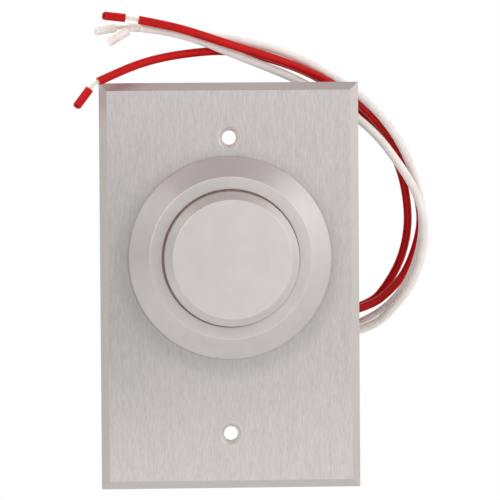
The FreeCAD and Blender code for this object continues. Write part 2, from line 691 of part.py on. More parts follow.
def actuator_arm():
    """Moulded arm: hub on the rod, a leg down to the switches and the wedge that works them."""
    hub = rod_y(ARM_HUB, ARM_FRONT, HUB_BACK)
    half = ARM_WIDTH / 2
    face_at_nose = NOSE_X - LEVER_NOSE_RADIUS - CAM_GAP
    leg_y = (ARM_FRONT, ARM_FRONT + ARM_THICKNESS)
    leg = block((-half, face_at_nose), leg_y, (SWITCH_BOTTOM, BUTTON_HEIGHT))
    cam_rear = NOSE_Y + CAM_OVERRUN
    corners = [
        point(-CAM_BACK, ARM_FRONT, SWITCH_BOTTOM),
        point(face_at_nose + CAM_SLOPE * (NOSE_Y - ARM_FRONT), ARM_FRONT, SWITCH_BOTTOM),
        point(face_at_nose - CAM_SLOPE * CAM_OVERRUN, cam_rear, SWITCH_BOTTOM),
        point(-CAM_BACK, cam_rear, SWITCH_BOTTOM),
    ]
    outline = Part.Face(Part.makePolygon(corners + corners[:1]))
    wedge = outline.extrude(Z_AXIS * (SWITCH_TOP - SWITCH_BOTTOM))
    arm = hub.fuse([leg, wedge])
    return arm.cut(rod_y(ROD_DIAMETER + 2 * ROD_CLEARANCE, ARM_FRONT, HUB_BACK))


def arm_clip():
    """Open retaining clip in the groove at the end of the rod."""
    core = ROD_DIAMETER - 2 * ROD_GROOVE_DEPTH + 2 * CLIP_CLEARANCE
    disc = rod_y(CLIP_DIAMETER, HUB_BACK, CLIP_BACK).cut(rod_y(core, HUB_BACK, CLIP_BACK))
    mouth = block((-CLIP_MOUTH / 2, CLIP_MOUTH / 2), (HUB_BACK, CLIP_BACK),
                  (BUTTON_HEIGHT, BUTTON_HEIGHT + CLIP_DIAMETER))
    return disc.cut(mouth)


def switch_screw_places():
    x = SWITCH_FACE + SWITCH_SCREW_FROM_FACE
    first = SWITCH_FRONT + SWITCH_SCREW_FROM_END
    return [(x, first), (x, first + SWITCH_SCREW_SPACING)]


def switch_case(height):
    low = height - SWITCH_THICKNESS / 2
    high = height + SWITCH_THICKNESS / 2
    case = block((SWITCH_FACE, SWITCH_BACK), (SWITCH_FRONT, SWITCH_REAR), (low, high))
    ear_y = (PIVOT_Y - EAR_LENGTH / 2, PIVOT_Y + EAR_LENGTH / 2)
    ear_x = (PIVOT_X - PIVOT_EYE / 2, SWITCH_FACE)
    for side in (-1, 1):
        near = height + side * (LEVER_WIDTH / 2 + EAR_GAP)
        far = near + side * EAR_WIDTH
        case = case.fuse(block(ear_x, ear_y, (min(near, far), max(near, far))))
    axle_half = LEVER_WIDTH / 2 + EAR_GAP + EAR_WIDTH
    case = case.fuse(rod_z(PIVOT_PIN, height - axle_half, height + axle_half, PIVOT_X, PIVOT_Y))
    pin_hole = Part.makeCylinder(PIN_DIAMETER / 2 + PIN_CLEARANCE, PIN_HOLE_DEPTH,
                                 point(SWITCH_FACE, PIN_Y, height), X_AXIS)
    case = case.cut(pin_hole)
    for x, y in switch_screw_places():
        case = case.cut(rod_z(SWITCH_SCREW + 2 * SCREW_HOLE_CLEARANCE, low, high, x, y))
    return case


def switch_pin(height):
    """Plunger with a domed end that the lever presses."""
    tip = SWITCH_FACE - PIN_PROUD
    shank = Part.makeCylinder(PIN_DIAMETER / 2, PIN_LENGTH, point(tip, PIN_Y, height), X_AXIS)
    dome = Part.makeSphere(PIN_DOME, point(tip + PIN_DOME, PIN_Y, height))
    reach = block((tip, tip + PIN_DOME), (PIN_Y - PIN_DIAMETER, PIN_Y + PIN_DIAMETER),
                  (height - PIN_DIAMETER, height + PIN_DIAMETER))
    front = shank.common(dome).common(reach)
    rear = shank.cut(reach)
    return front.fuse(rear)


def switch_lever(height):
    """Hinged blade with a rounded nose that rides on the wedge."""
    low = height - LEVER_WIDTH / 2
    high = height + LEVER_WIDTH / 2
    eye = rod_z(PIVOT_EYE, low, high, PIVOT_X, PIVOT_Y)
    blade = block((BLADE_FRONT, BLADE_BACK), (PIVOT_Y, NOSE_Y + LEVER_NOSE_RADIUS / 2), (low, high))
    nose = rod_z(2 * LEVER_NOSE_RADIUS, low, high, NOSE_X, NOSE_Y)
    neck_half = LEVER_NOSE_RADIUS / 2
    neck = block((NOSE_X, BLADE_BACK), (NOSE_Y - neck_half, NOSE_Y + neck_half), (low, high))
    lever = blade.fuse([eye, nose, neck])
    return lever.cut(rod_z(PIVOT_PIN + 2 * PIVOT_CLEARANCE, low, high, PIVOT_X, PIVOT_Y))


def switch_insulator():
    """Thin sheet between the two switches."""
    z_low = SWITCH_LOWER_HEIGHT + SWITCH_THICKNESS / 2
    z_high = SWITCH_UPPER_HEIGHT - SWITCH_THICKNESS / 2
    sheet = block((SWITCH_FACE, SWITCH_BACK), (SWITCH_FRONT, SWITCH_REAR), (z_low, z_high))
    for x, y in switch_screw_places():
        sheet = sheet.cut(rod_z(SWITCH_SCREW + 2 * SCREW_HOLE_CLEARANCE, z_low, z_high, x, y))
    return sheet


def switch_bracket():
    """Folded steel angle: its foot stands on two bosses and its leg carries both switches."""
    x_range = (SWITCH_FACE, SWITCH_BACK)
    leg = block(x_range, (BRACKET_FRONT, SWITCH_REAR), (SWITCH_TOP, BRACKET_TOP))
    foot_back = BRACKET_FRONT + BRACKET_THICKNESS
    foot = block(x_range, (BRACKET_FRONT, foot_back), (SWITCH_TOP, BRACKET_TOP + BRACKET_FOOT))
    bracket = leg.fuse(foot)
    for x, z in bracket_screw_places():
        hole = BRACKET_SCREW + 2 * SCREW_HOLE_CLEARANCE
        bracket = bracket.cut(rod_y(hole, BRACKET_FRONT, foot_back, x, z))
    for x, y in switch_screw_places():
        bracket = bracket.cut(rod_z(SWITCH_SCREW + 2 * THREAD_CLEARANCE, SWITCH_TOP, BRACKET_TOP, x, y))
    return bracket


def bracket_screws():
    seat = BRACKET_FRONT + BRACKET_THICKNESS
    end = BRACKET_FRONT - BRACKET_SCREW_DEPTH
    screws = [screw_y(BRACKET_SCREW, BRACKET_SCREW_HEAD, BRACKET_SCREW_HEAD_HEIGHT, end, seat, x, z)
              for x, z in bracket_screw_places()]
    return Part.makeCompound(screws)


def switch_screws():
    """Two long screws from below, through both switches into the bracket."""
    screws = []
    head_end = SWITCH_BOTTOM - SWITCH_SCREW_HEAD_HEIGHT
    slot_end = SWITCH_BOTTOM - SWITCH_SCREW_HEAD_HEIGHT / 2
    for x, y in switch_screw_places():
        shank = rod_z(SWITCH_SCREW, SWITCH_BOTTOM, BRACKET_TOP + SWITCH_SCREW_PAST, x, y)
        head = rod_z(SWITCH_SCREW_HEAD, head_end, SWITCH_BOTTOM, x, y)
        slot_half = SWITCH_SCREW * SCREW_SLOT_SHARE / 2
        slot = block((x - SWITCH_SCREW_HEAD, x + SWITCH_SCREW_HEAD), (y - slot_half, y + slot_half),
                     (head_end, slot_end))
        screws.append(shank.fuse(head).cut(slot))
    return Part.makeCompound(screws)


def rear_cover():
    half = BOX_HALF_WIDTH - COVER_STEP
    rear = BOX_REAR + COVER_THICKNESS
    cover = rounded_box((-half, half), (BOX_REAR, rear),
                        (BOX_BOTTOM + COVER_STEP, BOX_TOP - COVER_STEP), BOX_CORNER - COVER_STEP)
    cover = cover.makeFillet(COVER_EDGE_ROUND, edges_in_plane(cover, Y_AXIS, rear))
    for x, z in box_corners():
        hole = COVER_SCREW + 2 * SCREW_HOLE_CLEARANCE
        cover = cover.cut(rod_y(hole, BOX_REAR, rear, x, z))
    return cover


def cover_screws():
    seat = BOX_REAR + COVER_THICKNESS
    end = BOX_REAR - COVER_SCREW_LENGTH + COVER_THICKNESS
    screws = [screw_y(COVER_SCREW, COVER_SCREW_HEAD, COVER_SCREW_HEAD_HEIGHT, end, seat, x, z)
              for x, z in box_corners()]
    return Part.makeCompound(screws)


def lead_grommet():
    """Rubber block in the side window, with a hole for each lead."""
    y_range, z_range = grommet_window(0)
    wall = (BOX_HALF_WIDTH - BOX_WALL, BOX_HALF_WIDTH)
    y_lip, z_lip = grommet_window(GROMMET_LIP)
    lip_corner = GROMMET_CORNER + GROMMET_LIP
    face = wall[1] + GROMMET_LIP_THICKNESS
    grommet = rounded_box(wall, y_range, z_range, GROMMET_CORNER, X_AXIS)
    inner_lip = rounded_box((wall[0] - GROMMET_LIP_THICKNESS, wall[0]), y_lip, z_lip, lip_corner, X_AXIS)
    outer_lip = rounded_box((wall[1], face), y_lip, z_lip, lip_corner, X_AXIS)
    outer_lip = outer_lip.makeFillet(GROMMET_EDGE_ROUND, edges_in_plane(outer_lip, X_AXIS, face))
    grommet = grommet.fuse([inner_lip, outer_lip])
    for side in ("front", "rear"):
        for height in SWITCH_HEIGHTS.values():
            hole = Part.makeCylinder(LEAD_DIAMETER / 2 + GROMMET_CLEARANCE, LEAD_STRAIGHT,
                                     point(SWITCH_BACK, lead_start_y(side), height), X_AXIS)
            grommet = grommet.cut(hole)
    return grommet


def lead_start_y(side):
    offset = {"front": LEAD_FRONT_FROM_END, "rear": LEAD_REAR_FROM_END}[side]
    return SWITCH_FRONT + offset


# Each lead leaves its switch along X, turns up behind the right edge of the plate,
# passes behind the upper right corner and ends above the upper left corner.  Its
# last point is the far end of the piece of insulation pushed along the strands.
LEADS = {
    "white_front": {
        "switch": "lower",
        "side": "front",
        "points": [
            (43.5, 28.0, -13.6), (48.7, 26.5, -8.4), (53.3, 24.9, -2.6), (56.3, 22.9, 4.5),
            (57.6, 21.0, 12.3), (56.8, 19.4, 20.2), (53.7, 17.4, 27.7), (49.0, 15.2, 34.2),
            (43.4, 12.7, 41.4), (36.6, 10.2, 47.6), (28.3, 9.5, 53.4), (19.2, 8.6, 58.4),
            (10.0, 7.4, 62.1), (0.8, 5.9, 65.7), (-8.0, 4.5, 69.3), (-16.8, 3.3, 71.8),
            (-24.7, 2.3, 72.7),
        ],
        "slug_end": (-33.8, 1.2, 68.4),
    },
    "white_rear": {
        "switch": "lower",
        "side": "rear",
        "points": [
            (42.8, 32.6, -11.5), (48.6, 29.6, -7.0), (53.2, 27.5, -0.9), (56.3, 26.1, 7.2),
            (57.6, 24.9, 15.8), (56.0, 22.1, 26.0), (52.5, 18.3, 36.1), (47.5, 14.4, 44.1),
            (41.2, 11.2, 50.8), (33.1, 9.0, 57.0), (24.6, 8.4, 62.0), (15.5, 8.2, 66.0),
            (6.1, 7.9, 68.5), (-3.6, 7.3, 70.3), (-13.0, 6.6, 71.7), (-20.9, 5.8, 72.6),
            (-28.3, 5.2, 73.0),
        ],
        "slug_end": (-36.8, 5.6, 71.9),
    },
    "red_front": {
        "switch": "upper",
        "side": "front",
        "points": [
            (42.7, 31.0, -7.8), (48.5, 31.5, -3.4), (53.1, 31.4, 1.8), (56.3, 30.6, 9.4),
            (57.5, 29.0, 17.5), (55.4, 26.0, 26.0), (51.4, 21.8, 34.9), (46.6, 17.5, 42.1),
            (39.9, 13.4, 49.1), (32.1, 10.2, 54.8), (23.4, 8.0, 59.5), (14.5, 6.3, 63.0),
            (5.6, 4.5, 66.0), (-3.2, 2.8, 69.2), (-11.7, 1.4, 72.0), (-18.8, 0.6, 73.7),
            (-24.8, 0.1, 74.9),
        ],
        "slug_end": (-34.9, -0.6, 76.2),
    },
    "red_rear": {
        "switch": "upper",
        "side": "rear",
        "points": [
            (43.3, 35.7, -6.8), (48.4, 35.4, -1.0), (52.3, 34.4, 5.8), (54.2, 32.5, 14.2),
            (53.7, 29.5, 22.4), (51.3, 25.6, 31.8), (47.1, 21.4, 39.8), (40.8, 17.4, 47.3),
            (32.4, 14.6, 54.3), (23.4, 12.8, 59.4), (14.2, 11.2, 62.9), (5.6, 9.7, 65.4),
            (-2.0, 8.3, 66.3), (-8.8, 5.8, 65.8), (-16.0, 2.6, 64.8), (-22.7, -0.6, 63.3),
            (-29.4, -3.7, 60.9), (-36.6, -6.2, 57.6),
        ],
        "slug_end": (-42.8, -7.4, 50.6),
    },
}


def lead_route(lead):
    start_y = lead_start_y(lead["side"])
    height = SWITCH_HEIGHTS[lead["switch"]]
    first = [point(SWITCH_BACK, start_y, height), point(SWITCH_BACK + LEAD_STRAIGHT, start_y, height)]
    return first + [point(*place) for place in lead["points"]]


def tube(route, diameter, name):
    """Round tube along straight runs joined by tangent arcs; prints its radii and its volume."""
    edges = []
    radii = []
    at = route[0]
    for before, corner, after in zip(route, route[1:], route[2:]):
        back = before - corner
        ahead = after - corner
        share = ARC_SHARE * min(back.Length, ahead.Length)
        turn = math.pi - back.getAngle(ahead)
        radius = share / math.tan(turn / 2)
        radii.append(radius)
        back.normalize()
        ahead.normalize()
        start = corner + back * share
        end = corner + ahead * share
        inward = back + ahead
        inward.normalize()
        centre = corner + inward * math.hypot(radius, share)
        middle = centre - inward * radius
        edges.append(Part.LineSegment(at, start).toShape())
        edges.append(Part.Arc(start, middle, end).toShape())
        at = end
    edges.append(Part.LineSegment(at, route[-1]).toShape())
    path = Part.Wire(edges)
    section = Part.Wire(Part.makeCircle(diameter / 2, route[0], route[1] - route[0]))
    solid = path.makePipeShell([section], True, False)
    expected = math.pi * diameter ** 2 / 4 * path.Length
    print(name, "length", round(path.Length, 1), "smallest radius", round(min(radii), 1),
          "volume ratio", round(solid.Volume / expected, 4))
    print("  radii", [round(radius, 1) for radius in radii])
    return solid


def lead_end(lead):
    """Corner of the bare strands, and the two ends of the loose piece of insulation."""
    route = lead_route(lead)
    way = route[-1] - route[-2]
    way.normalize()
    corner = route[-1] + way * STRIP_STRAIGHT
    along = point(*lead["slug_end"]) - corner
    along.normalize()
    slug_start = corner + along * (STRIP_LENGTH - STRIP_STRAIGHT)
    return corner, slug_start, slug_start + along * SLUG_LENGTH


def build():
    for name, shape in (
        ("wall_plate", wall_plate()),
        ("collar", collar()),
        ("wiper_ring", wiper_ring()),
        ("lock_washer", lock_washer()),
        ("barrel_nut", barrel_nut()),
        ("button_cap", button_cap()),
        ("piston", piston()),
        ("piston_cup", piston_cup()),
        ("spring_plate", spring_plate()),
        ("return_spring", return_spring()),
        ("piston_rod", piston_rod()),
        ("chamber_gasket", chamber_gasket()),
        ("housing", housing()),
        ("rod_bush", rod_bush()),
        ("rod_seal", rod_seal()),
        ("check_valve", check_valve()),
        ("needle_screw", needle_screw()),
        ("needle_seal", needle_seal()),
        ("actuator_arm", actuator_arm()),
        ("arm_clip", arm_clip()),
        ("switch_insulator", switch_insulator()),
        ("switch_bracket", switch_bracket()),
        ("bracket_screws", bracket_screws()),
        ("switch_screws", switch_screws()),
        ("rear_cover", rear_cover()),
        ("cover_screws", cover_screws()),
        ("lead_grommet", lead_grommet()),
    ):
        save(shape, name)
    for place, height in SWITCH_HEIGHTS.items():
        save(switch_case(height), "switch_case_" + place)
        save(switch_pin(height), "switch_pin_" + place)
        save(switch_lever(height), "switch_lever_" + place)
    for name, lead in LEADS.items():
        route = lead_route(lead)
        save(tube(route, LEAD_DIAMETER, "lead_" + name), "lead_" + name)
        corner, slug_start, slug_end = lead_end(lead)
        strands = tube([route[-1], corner, slug_start], STRAND_DIAMETER, "strands_" + name)
        save(strands, "strands_" + name)
        slug = Part.makeCylinder(LEAD_DIAMETER / 2, SLUG_LENGTH, slug_start, slug_end - slug_start)
        save(slug, "slug_" + name)


build()
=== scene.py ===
# %% [markdown]
# # A push button light switch on a brushed steel plate
# The real thing is a single-gang wall plate with a large round button in a conical
# aluminium collar, and a timed switch mechanism behind it. The CAD model gives every
# solid and every moving body. This lesson loads it as a fixed frame, mixes a finish for
# each material, lays the leads, and makes finer meshes for what is seen most.

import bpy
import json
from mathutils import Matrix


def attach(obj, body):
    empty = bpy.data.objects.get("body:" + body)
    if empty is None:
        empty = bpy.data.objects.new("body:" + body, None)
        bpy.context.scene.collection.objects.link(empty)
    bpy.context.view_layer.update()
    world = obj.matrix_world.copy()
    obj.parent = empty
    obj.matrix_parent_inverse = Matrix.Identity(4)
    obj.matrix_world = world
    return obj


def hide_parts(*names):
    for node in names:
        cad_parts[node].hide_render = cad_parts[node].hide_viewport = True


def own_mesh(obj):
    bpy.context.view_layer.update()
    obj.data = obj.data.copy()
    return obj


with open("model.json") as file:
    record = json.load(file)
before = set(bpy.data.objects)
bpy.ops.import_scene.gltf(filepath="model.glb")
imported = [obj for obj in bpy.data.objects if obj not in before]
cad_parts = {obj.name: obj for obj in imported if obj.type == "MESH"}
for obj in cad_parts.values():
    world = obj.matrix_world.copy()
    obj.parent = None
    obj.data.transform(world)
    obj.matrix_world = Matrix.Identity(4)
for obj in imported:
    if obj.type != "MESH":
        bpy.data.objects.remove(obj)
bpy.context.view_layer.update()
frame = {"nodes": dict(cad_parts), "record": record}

# %% Other modules of the lesson
import json
import math

import bmesh
import bpy
from mathutils import Euler, Matrix, Vector

# %% [markdown]
# The camera comes first, because everything else is judged through it. The photograph
# was taken almost square to the plate, from a little above and to the left. A view could
# be matched by eye, but these numbers come from fitting a camera to the plate's four
# corners and to the circles of the collar and the button, which all land within a pixel
# of their places in a frame 500 pixels wide and high.

# %% Camera
CAMERA_PLACE = (-0.049462, -1.0, 0.045903)
CAMERA_ANGLES = (87.94237, 0.40244, -3.17721)
FOCAL_PIXELS = 3552.73
PICTURE_PIXELS = 500
SENSOR_WIDTH = 36.0

eye = bpy.data.cameras.new("camera")
eye.sensor_width = SENSOR_WIDTH
eye.lens = FOCAL_PIXELS * SENSOR_WIDTH / PICTURE_PIXELS
camera = bpy.data.objects.new("camera", eye)
camera.location = CAMERA_PLACE
camera.rotation_euler = Euler([math.radians(angle) for angle in CAMERA_ANGLES])
bpy.context.scene.collection.objects.link(camera)
bpy.context.scene.camera = camera
print("lens, mm:", round(eye.lens, 1))

# %% [markdown]
# Every finish below is a material made of nodes. Small helpers keep them short. One
# turns the hex colours of a paint chart into the linear light that shaders use, and one
# adds a node with its settings and links. One starts a material with the place on the
# piece, in metres, so that a pattern's scale can be worked out from a real size. One
# lets a pattern drift between a dark and a light tone, and one closes the material.

# %% Helpers for materials
FINISHES = {}


def linear(hex_colour):
    """Turn an sRGB hex colour into the linear RGBA of shaders and lamps."""
    channels = [int(hex_colour[start:start + 2], 16) / 255 for start in (1, 3, 5)]
    light = [c / 12.92 if c <= 0.04045 else ((c + 0.055) / 1.055) ** 2.4 for c in channels]
    return light + [1.0]


def add(tree, kind, inputs=None, **settings):
    """Add a node; an input is a value or the output socket of another node."""
    node = tree.nodes.new(kind)
    for name, value in settings.items():
        setattr(node, name, value)
    for name, value in (inputs or {}).items():
        if isinstance(value, bpy.types.NodeSocket):
            tree.links.new(value, node.inputs[name])
        else:
            node.inputs[name].default_value = value
    return node


def start_finish(name):
    """Start a material; returns its node tree and the place on the piece in metres."""
    made = bpy.data.materials.new(name)
    made.use_nodes = True
    made.node_tree.nodes.clear()
    FINISHES[name] = made
    return made.node_tree, add(made.node_tree, "ShaderNodeTexCoord").outputs["Object"]


def two_tones(tree, pattern, dark, light, low=0.35, high=0.65):
    """Turn a pattern from 0 to 1 into a colour: dark up to low, light from high on."""
    ramp = add(tree, "ShaderNodeValToRGB", {"Fac": pattern})
    for stop, position, tint in zip(ramp.color_ramp.elements, (low, high), (dark, light)):
        stop.position = position
        stop.color = linear(tint)
    return ramp.outputs["Color"]


def end_finish(tree, shader):
    """Close a material with its surface shader."""
    add(tree, "ShaderNodeOutputMaterial", {"Surface": shader.outputs["BSDF"]})
    print(list(FINISHES)[-1], "is ready, nodes:", len(tree.nodes))


print("sRGB #808080 in linear light:", round(linear("#808080")[0], 3))

# %% [markdown]
# The plate is stainless steel, brushed from top to bottom. Brushing leaves fine
# scratches that run along Z, so a reflection stays sharp along them and spreads wide
# across them. The shader's anisotropy gives that spread, and a noise that is squeezed
# to the width of a scratch and stretched to its length gives the lines. A picture of
# brushed steel could be laid on instead, but it would repeat, and blur close up. Real
# scratches are about 0.05 mm wide, too fine for this picture, so they are drawn 0.18 mm
# wide, with a few broader streaks mixed in. Close round the collar the steel's colour is
# painted darker, a painted shade and reflection for the soft dark ring that the collar's
# blurred mirror image leaves there. The bevels were milled after the brushing, so their
# reflections spread less to the sides. The countersinks were drilled, which leaves steel
# with no grain at all, and their colour is painted much paler, a painted light that lifts
# them out of the shade of their own hollows.

# %% Brushed stainless steel
SCRATCH_WIDTH = 0.00018
SCRATCH_LENGTH = 0.0022
STREAK_WIDTH = 0.0009
STREAK_LENGTH = 0.02
STREAK_SHARE = 0.15
# Painted shade: close round the collar the steel's colour is darkened, for the collar's blurred
# mirror image.
COLLAR_SHADE_CENTRE = (-0.0005, 0.0, 0.0064)
COLLAR_SHADE_FROM = 0.0285
COLLAR_SHADE_TO = 0.0345
COLLAR_SHADE_TONE = 0.86

for name, dark, light, matt_low, matt_high, spread, depth in (
    ("brushed_stainless", "#bab5b3", "#cec9c7", 0.38, 0.43, 0.6, 0.00002),
    ("milled_bevel", "#c2bcb8", "#cbc5c1", 0.46, 0.52, 0.2, 0.00001),
    # Painted light: the drilled steel's colour is much paler, to lift the countersinks out of
    # the shade of their hollows.
    ("painted_pale_drilled_steel", "#e0dad7", "#ebe6e3", 0.46, 0.54, 0.0, 0.00001),
):
    tree, place = start_finish(name)
    fine = add(tree, "ShaderNodeMapping", {
        "Vector": place, "Scale": (1 / SCRATCH_WIDTH, 1 / SCRATCH_WIDTH, 1 / SCRATCH_LENGTH)})
    scratches = add(tree, "ShaderNodeTexNoise", {
        "Vector": fine.outputs["Vector"], "Scale": 1.0, "Detail": 3.0, "Roughness": 0.6})
    broad = add(tree, "ShaderNodeMapping", {
        "Vector": place, "Scale": (1 / STREAK_WIDTH, 1 / STREAK_WIDTH, 1 / STREAK_LENGTH)})
    streaks = add(tree, "ShaderNodeTexNoise", {
        "Vector": broad.outputs["Vector"], "Scale": 1.0, "Detail": 2.0})
    both = add(tree, "ShaderNodeMix", {
        "Factor": STREAK_SHARE, "A": scratches.outputs["Fac"], "B": streaks.outputs["Fac"]})
    tone = two_tones(tree, both.outputs["Result"], dark, light, low=0.34, high=0.66)
    # Painted shade: the tone is darkened close round the collar.
    reach = add(tree, "ShaderNodeVectorMath", {0: place, 1: COLLAR_SHADE_CENTRE}, operation="DISTANCE")
    collar_shade = add(tree, "ShaderNodeMapRange", {
        "Value": reach.outputs["Value"], "From Min": COLLAR_SHADE_FROM, "From Max": COLLAR_SHADE_TO,
        "To Min": COLLAR_SHADE_TONE, "To Max": 1.0}, interpolation_type="SMOOTHSTEP")
    shade = add(tree, "ShaderNodeVectorMath", {
        0: tone, 1: collar_shade.outputs["Result"]}, operation="MULTIPLY")
    matt = add(tree, "ShaderNodeMapRange", {
        "Value": scratches.outputs["Fac"], "To Min": matt_low, "To Max": matt_high})
    relief = add(tree, "ShaderNodeBump", {
        "Height": scratches.outputs["Fac"], "Strength": 0.18, "Distance": depth})
    across = add(tree, "ShaderNodeTangent", direction_type="UV_MAP", uv_map="grain")
    shader = add(tree, "ShaderNodeBsdfPrincipled", {
        "Base Color": shade.outputs["Vector"], "Metallic": 1.0,
        "Roughness": matt.outputs["Result"], "Anisotropic": spread,
        "Tangent": across.outputs["Tangent"], "Normal": relief.outputs["Normal"]})
    end_finish(tree, shader)

# %% [markdown]
# The collar and the button are turned aluminium, bead blasted and then anodised clear.
# Blasting leaves tiny dents that scatter light evenly in all directions, and the oxide
# layer makes the metal a shade warmer and milkier. One even roughness would do from
# afar, but close up it looks like paint. So a fine noise gives the dents, and a faint
# broad one keeps the tone from being the same all over.

# %% Anodised aluminium, collar and button
DENT_SIZE = 0.0002
CLOUD_SIZE = 0.006
CLOUD_SHARE = 0.4

for name, dark, light, matt_low, matt_high in (
    ("collar_aluminium", "#c7c2c0", "#cfcac8", 0.44, 0.50),
    ("button_aluminium", "#c9c4c2", "#d1ccc9", 0.46, 0.52),
):
    tree, place = start_finish(name)
    dents = add(tree, "ShaderNodeTexNoise", {
        "Vector": place, "Scale": 1 / DENT_SIZE, "Detail": 2.0})
    clouds = add(tree, "ShaderNodeTexNoise", {
        "Vector": place, "Scale": 1 / CLOUD_SIZE, "Detail": 2.0})
    both = add(tree, "ShaderNodeMix", {
        "Factor": CLOUD_SHARE, "A": dents.outputs["Fac"], "B": clouds.outputs["Fac"]})
    tone = two_tones(tree, both.outputs["Result"], dark, light)
    matt = add(tree, "ShaderNodeMapRange", {
        "Value": dents.outputs["Fac"], "To Min": matt_low, "To Max": matt_high})
    relief = add(tree, "ShaderNodeBump", {
        "Height": dents.outputs["Fac"], "Strength": 0.15, "Distance": 0.00003})
    shader = add(tree, "ShaderNodeBsdfPrincipled", {
        "Base Color": tone, "Metallic": 1.0, "Roughness": matt.outputs["Result"],
        "Normal": relief.outputs["Normal"]})
    end_finish(tree, shader)

# %% [markdown]
# The lock washer, the ring nut, the bracket and the screws are steel with a zinc
# plating. The plating dulls in patches as it ages, so its tone and its gloss both
# change slowly over a few millimetres. One noise drives both, because the dull places
# are the paler ones too. The rod is turned bright, and the springs are drawn wire,
# darker from the heat that set them.

# %% Plated, ground and spring steel
for name, dark, light, matt_low, matt_high, patch in (
    ("plated_steel", "#a9abad", "#c4c6c6", 0.26, 0.42, 0.003),
    ("turned_steel", "#b0aeab", "#c2c0bd", 0.18, 0.30, 0.0012),
    ("spring_steel", "#7d7c7a", "#9c9a97", 0.22, 0.34, 0.0015),
):
    tree, place = start_finish(name)
    patches = add(tree, "ShaderNodeTexNoise", {
        "Vector": place, "Scale": 1 / patch, "Detail": 4.0})
    tone = two_tones(tree, patches.outputs["Fac"], dark, light)
    matt = add(tree, "ShaderNodeMapRange", {
        "Value": patches.outputs["Fac"], "To Min": matt_low, "To Max": matt_high})
    shader = add(tree, "ShaderNodeBsdfPrincipled", {
        "Base Color": tone, "Metallic": 1.0, "Roughness": matt.outputs["Result"]})
    end_finish(tree, shader)

# %% [markdown]
# The needle screw and the rod's bush are turned brass. A lathe tool leaves fine rings
# round the axis, which is Y here. They are too fine to be cut in the mesh, so a wave
# across Y draws them in the tone and the bump. Blender's wave repeats every pi / 10
# units, which is worked into its scale.

# %% Turned brass
TOOL_PITCH = 0.000377

tree, place = start_finish("turned_brass")
rings = add(tree, "ShaderNodeTexWave", {
    "Vector": place, "Scale": math.pi / 10 / TOOL_PITCH, "Distortion": 0.4}, bands_direction="Y")
tone = two_tones(tree, rings.outputs["Fac"], "#c9a25a", "#dcb96f", low=0.0, high=1.0)
relief = add(tree, "ShaderNodeBump", {
    "Height": rings.outputs["Fac"], "Strength": 0.2, "Distance": 0.00003})
shader = add(tree, "ShaderNodeBsdfPrincipled", {
    "Base Color": tone, "Metallic": 1.0, "Roughness": 0.26,
    "Normal": relief.outputs["Normal"]})
end_finish(tree, shader)

# %% [markdown]
# The housing, its cover and the switch cases are moulded plastic, the arm and the pins
# are acetal, and the seals are rubber. A mould is spark eroded, which leaves an even
# fine grain on the plastic: a noise of 0.3 mm in the bump and in the roughness. The
# insulator between the switches is vulcanised fibre, a dense paper with a mottled tone.
# The wiper is pressed wool felt, rough all through and with no gloss. It is what shows
# as a brown line in the gap round the button. All six are made by one recipe, so a table
# holds what differs.

# %% Moulded plastics, rubber, fibre and felt
for name, dark, light, grain, matt_low, matt_high, depth in (
    ("black_plastic", "#1d1d1f", "#27272a", 0.0003, 0.42, 0.58, 0.00006),
    ("switch_plastic", "#1b1c22", "#24252c", 0.0004, 0.22, 0.32, 0.00001),
    ("white_acetal", "#d9d8d1", "#e4e3dd", 0.0008, 0.30, 0.40, 0.00001),
    ("black_rubber", "#161616", "#222221", 0.0005, 0.55, 0.72, 0.00004),
    ("fish_paper", "#7b7466", "#958d7d", 0.0006, 0.60, 0.75, 0.00003),
    ("brown_felt", "#a98d7c", "#c3a897", 0.0003, 0.85, 0.95, 0.00008),
):
    tree, place = start_finish(name)
    speck = add(tree, "ShaderNodeTexNoise", {
        "Vector": place, "Scale": 1 / grain, "Detail": 3.0})
    tone = two_tones(tree, speck.outputs["Fac"], dark, light)
    matt = add(tree, "ShaderNodeMapRange", {
        "Value": speck.outputs["Fac"], "To Min": matt_low, "To Max": matt_high})
    relief = add(tree, "ShaderNodeBump", {
        "Height": speck.outputs["Fac"], "Strength": 0.5, "Distance": depth})
    shader = add(tree, "ShaderNodeBsdfPrincipled", {
        "Base Color": tone, "Roughness": matt.outputs["Result"],
        "IOR": 1.5, "Normal": relief.outputs["Normal"]})
    end_finish(tree, shader)

# %% [markdown]
# The leads' insulation is extruded PVC. It comes from a smooth die, so it has a faint
# gloss, and the colour drifts a little along the wire. The red is opaque, but light
# travels a millimetre or two inside the white, which softens its shaded side. Real
# transparency would show the strands, so subsurface scattering gives that softness. The
# copper strands are tinned, a pale metal that has gone dull and creamy.

# %% Insulation and strands
DRIFT_SIZE = 0.004
DRAG_SIZE = 0.0006
TARNISH_SIZE = 0.0005
LIGHT_REACH = 0.0015
LIGHT_REACH_RGB = (1.0, 0.9, 0.85)

for name, dark, light, glow in (
    ("red_insulation", "#ac0909", "#b80c0b", 0.0),
    ("white_insulation", "#d9d2ce", "#e1dad6", 0.9),
):
    tree, place = start_finish(name)
    drift = add(tree, "ShaderNodeTexNoise", {
        "Vector": place, "Scale": 1 / DRIFT_SIZE, "Detail": 3.0})
    tone = two_tones(tree, drift.outputs["Fac"], dark, light)
    drag = add(tree, "ShaderNodeTexNoise", {
        "Vector": place, "Scale": 1 / DRAG_SIZE, "Detail": 2.0})
    matt = add(tree, "ShaderNodeMapRange", {
        "Value": drag.outputs["Fac"], "To Min": 0.17, "To Max": 0.26})
    relief = add(tree, "ShaderNodeBump", {
        "Height": drag.outputs["Fac"], "Strength": 0.15, "Distance": 0.00003})
    shader = add(tree, "ShaderNodeBsdfPrincipled", {
        "Base Color": tone, "Roughness": matt.outputs["Result"], "IOR": 1.53,
        "Specular IOR Level": 0.13, "Subsurface Weight": glow,
        "Subsurface Scale": LIGHT_REACH, "Subsurface Radius": LIGHT_REACH_RGB,
        "Normal": relief.outputs["Normal"]})
    end_finish(tree, shader)

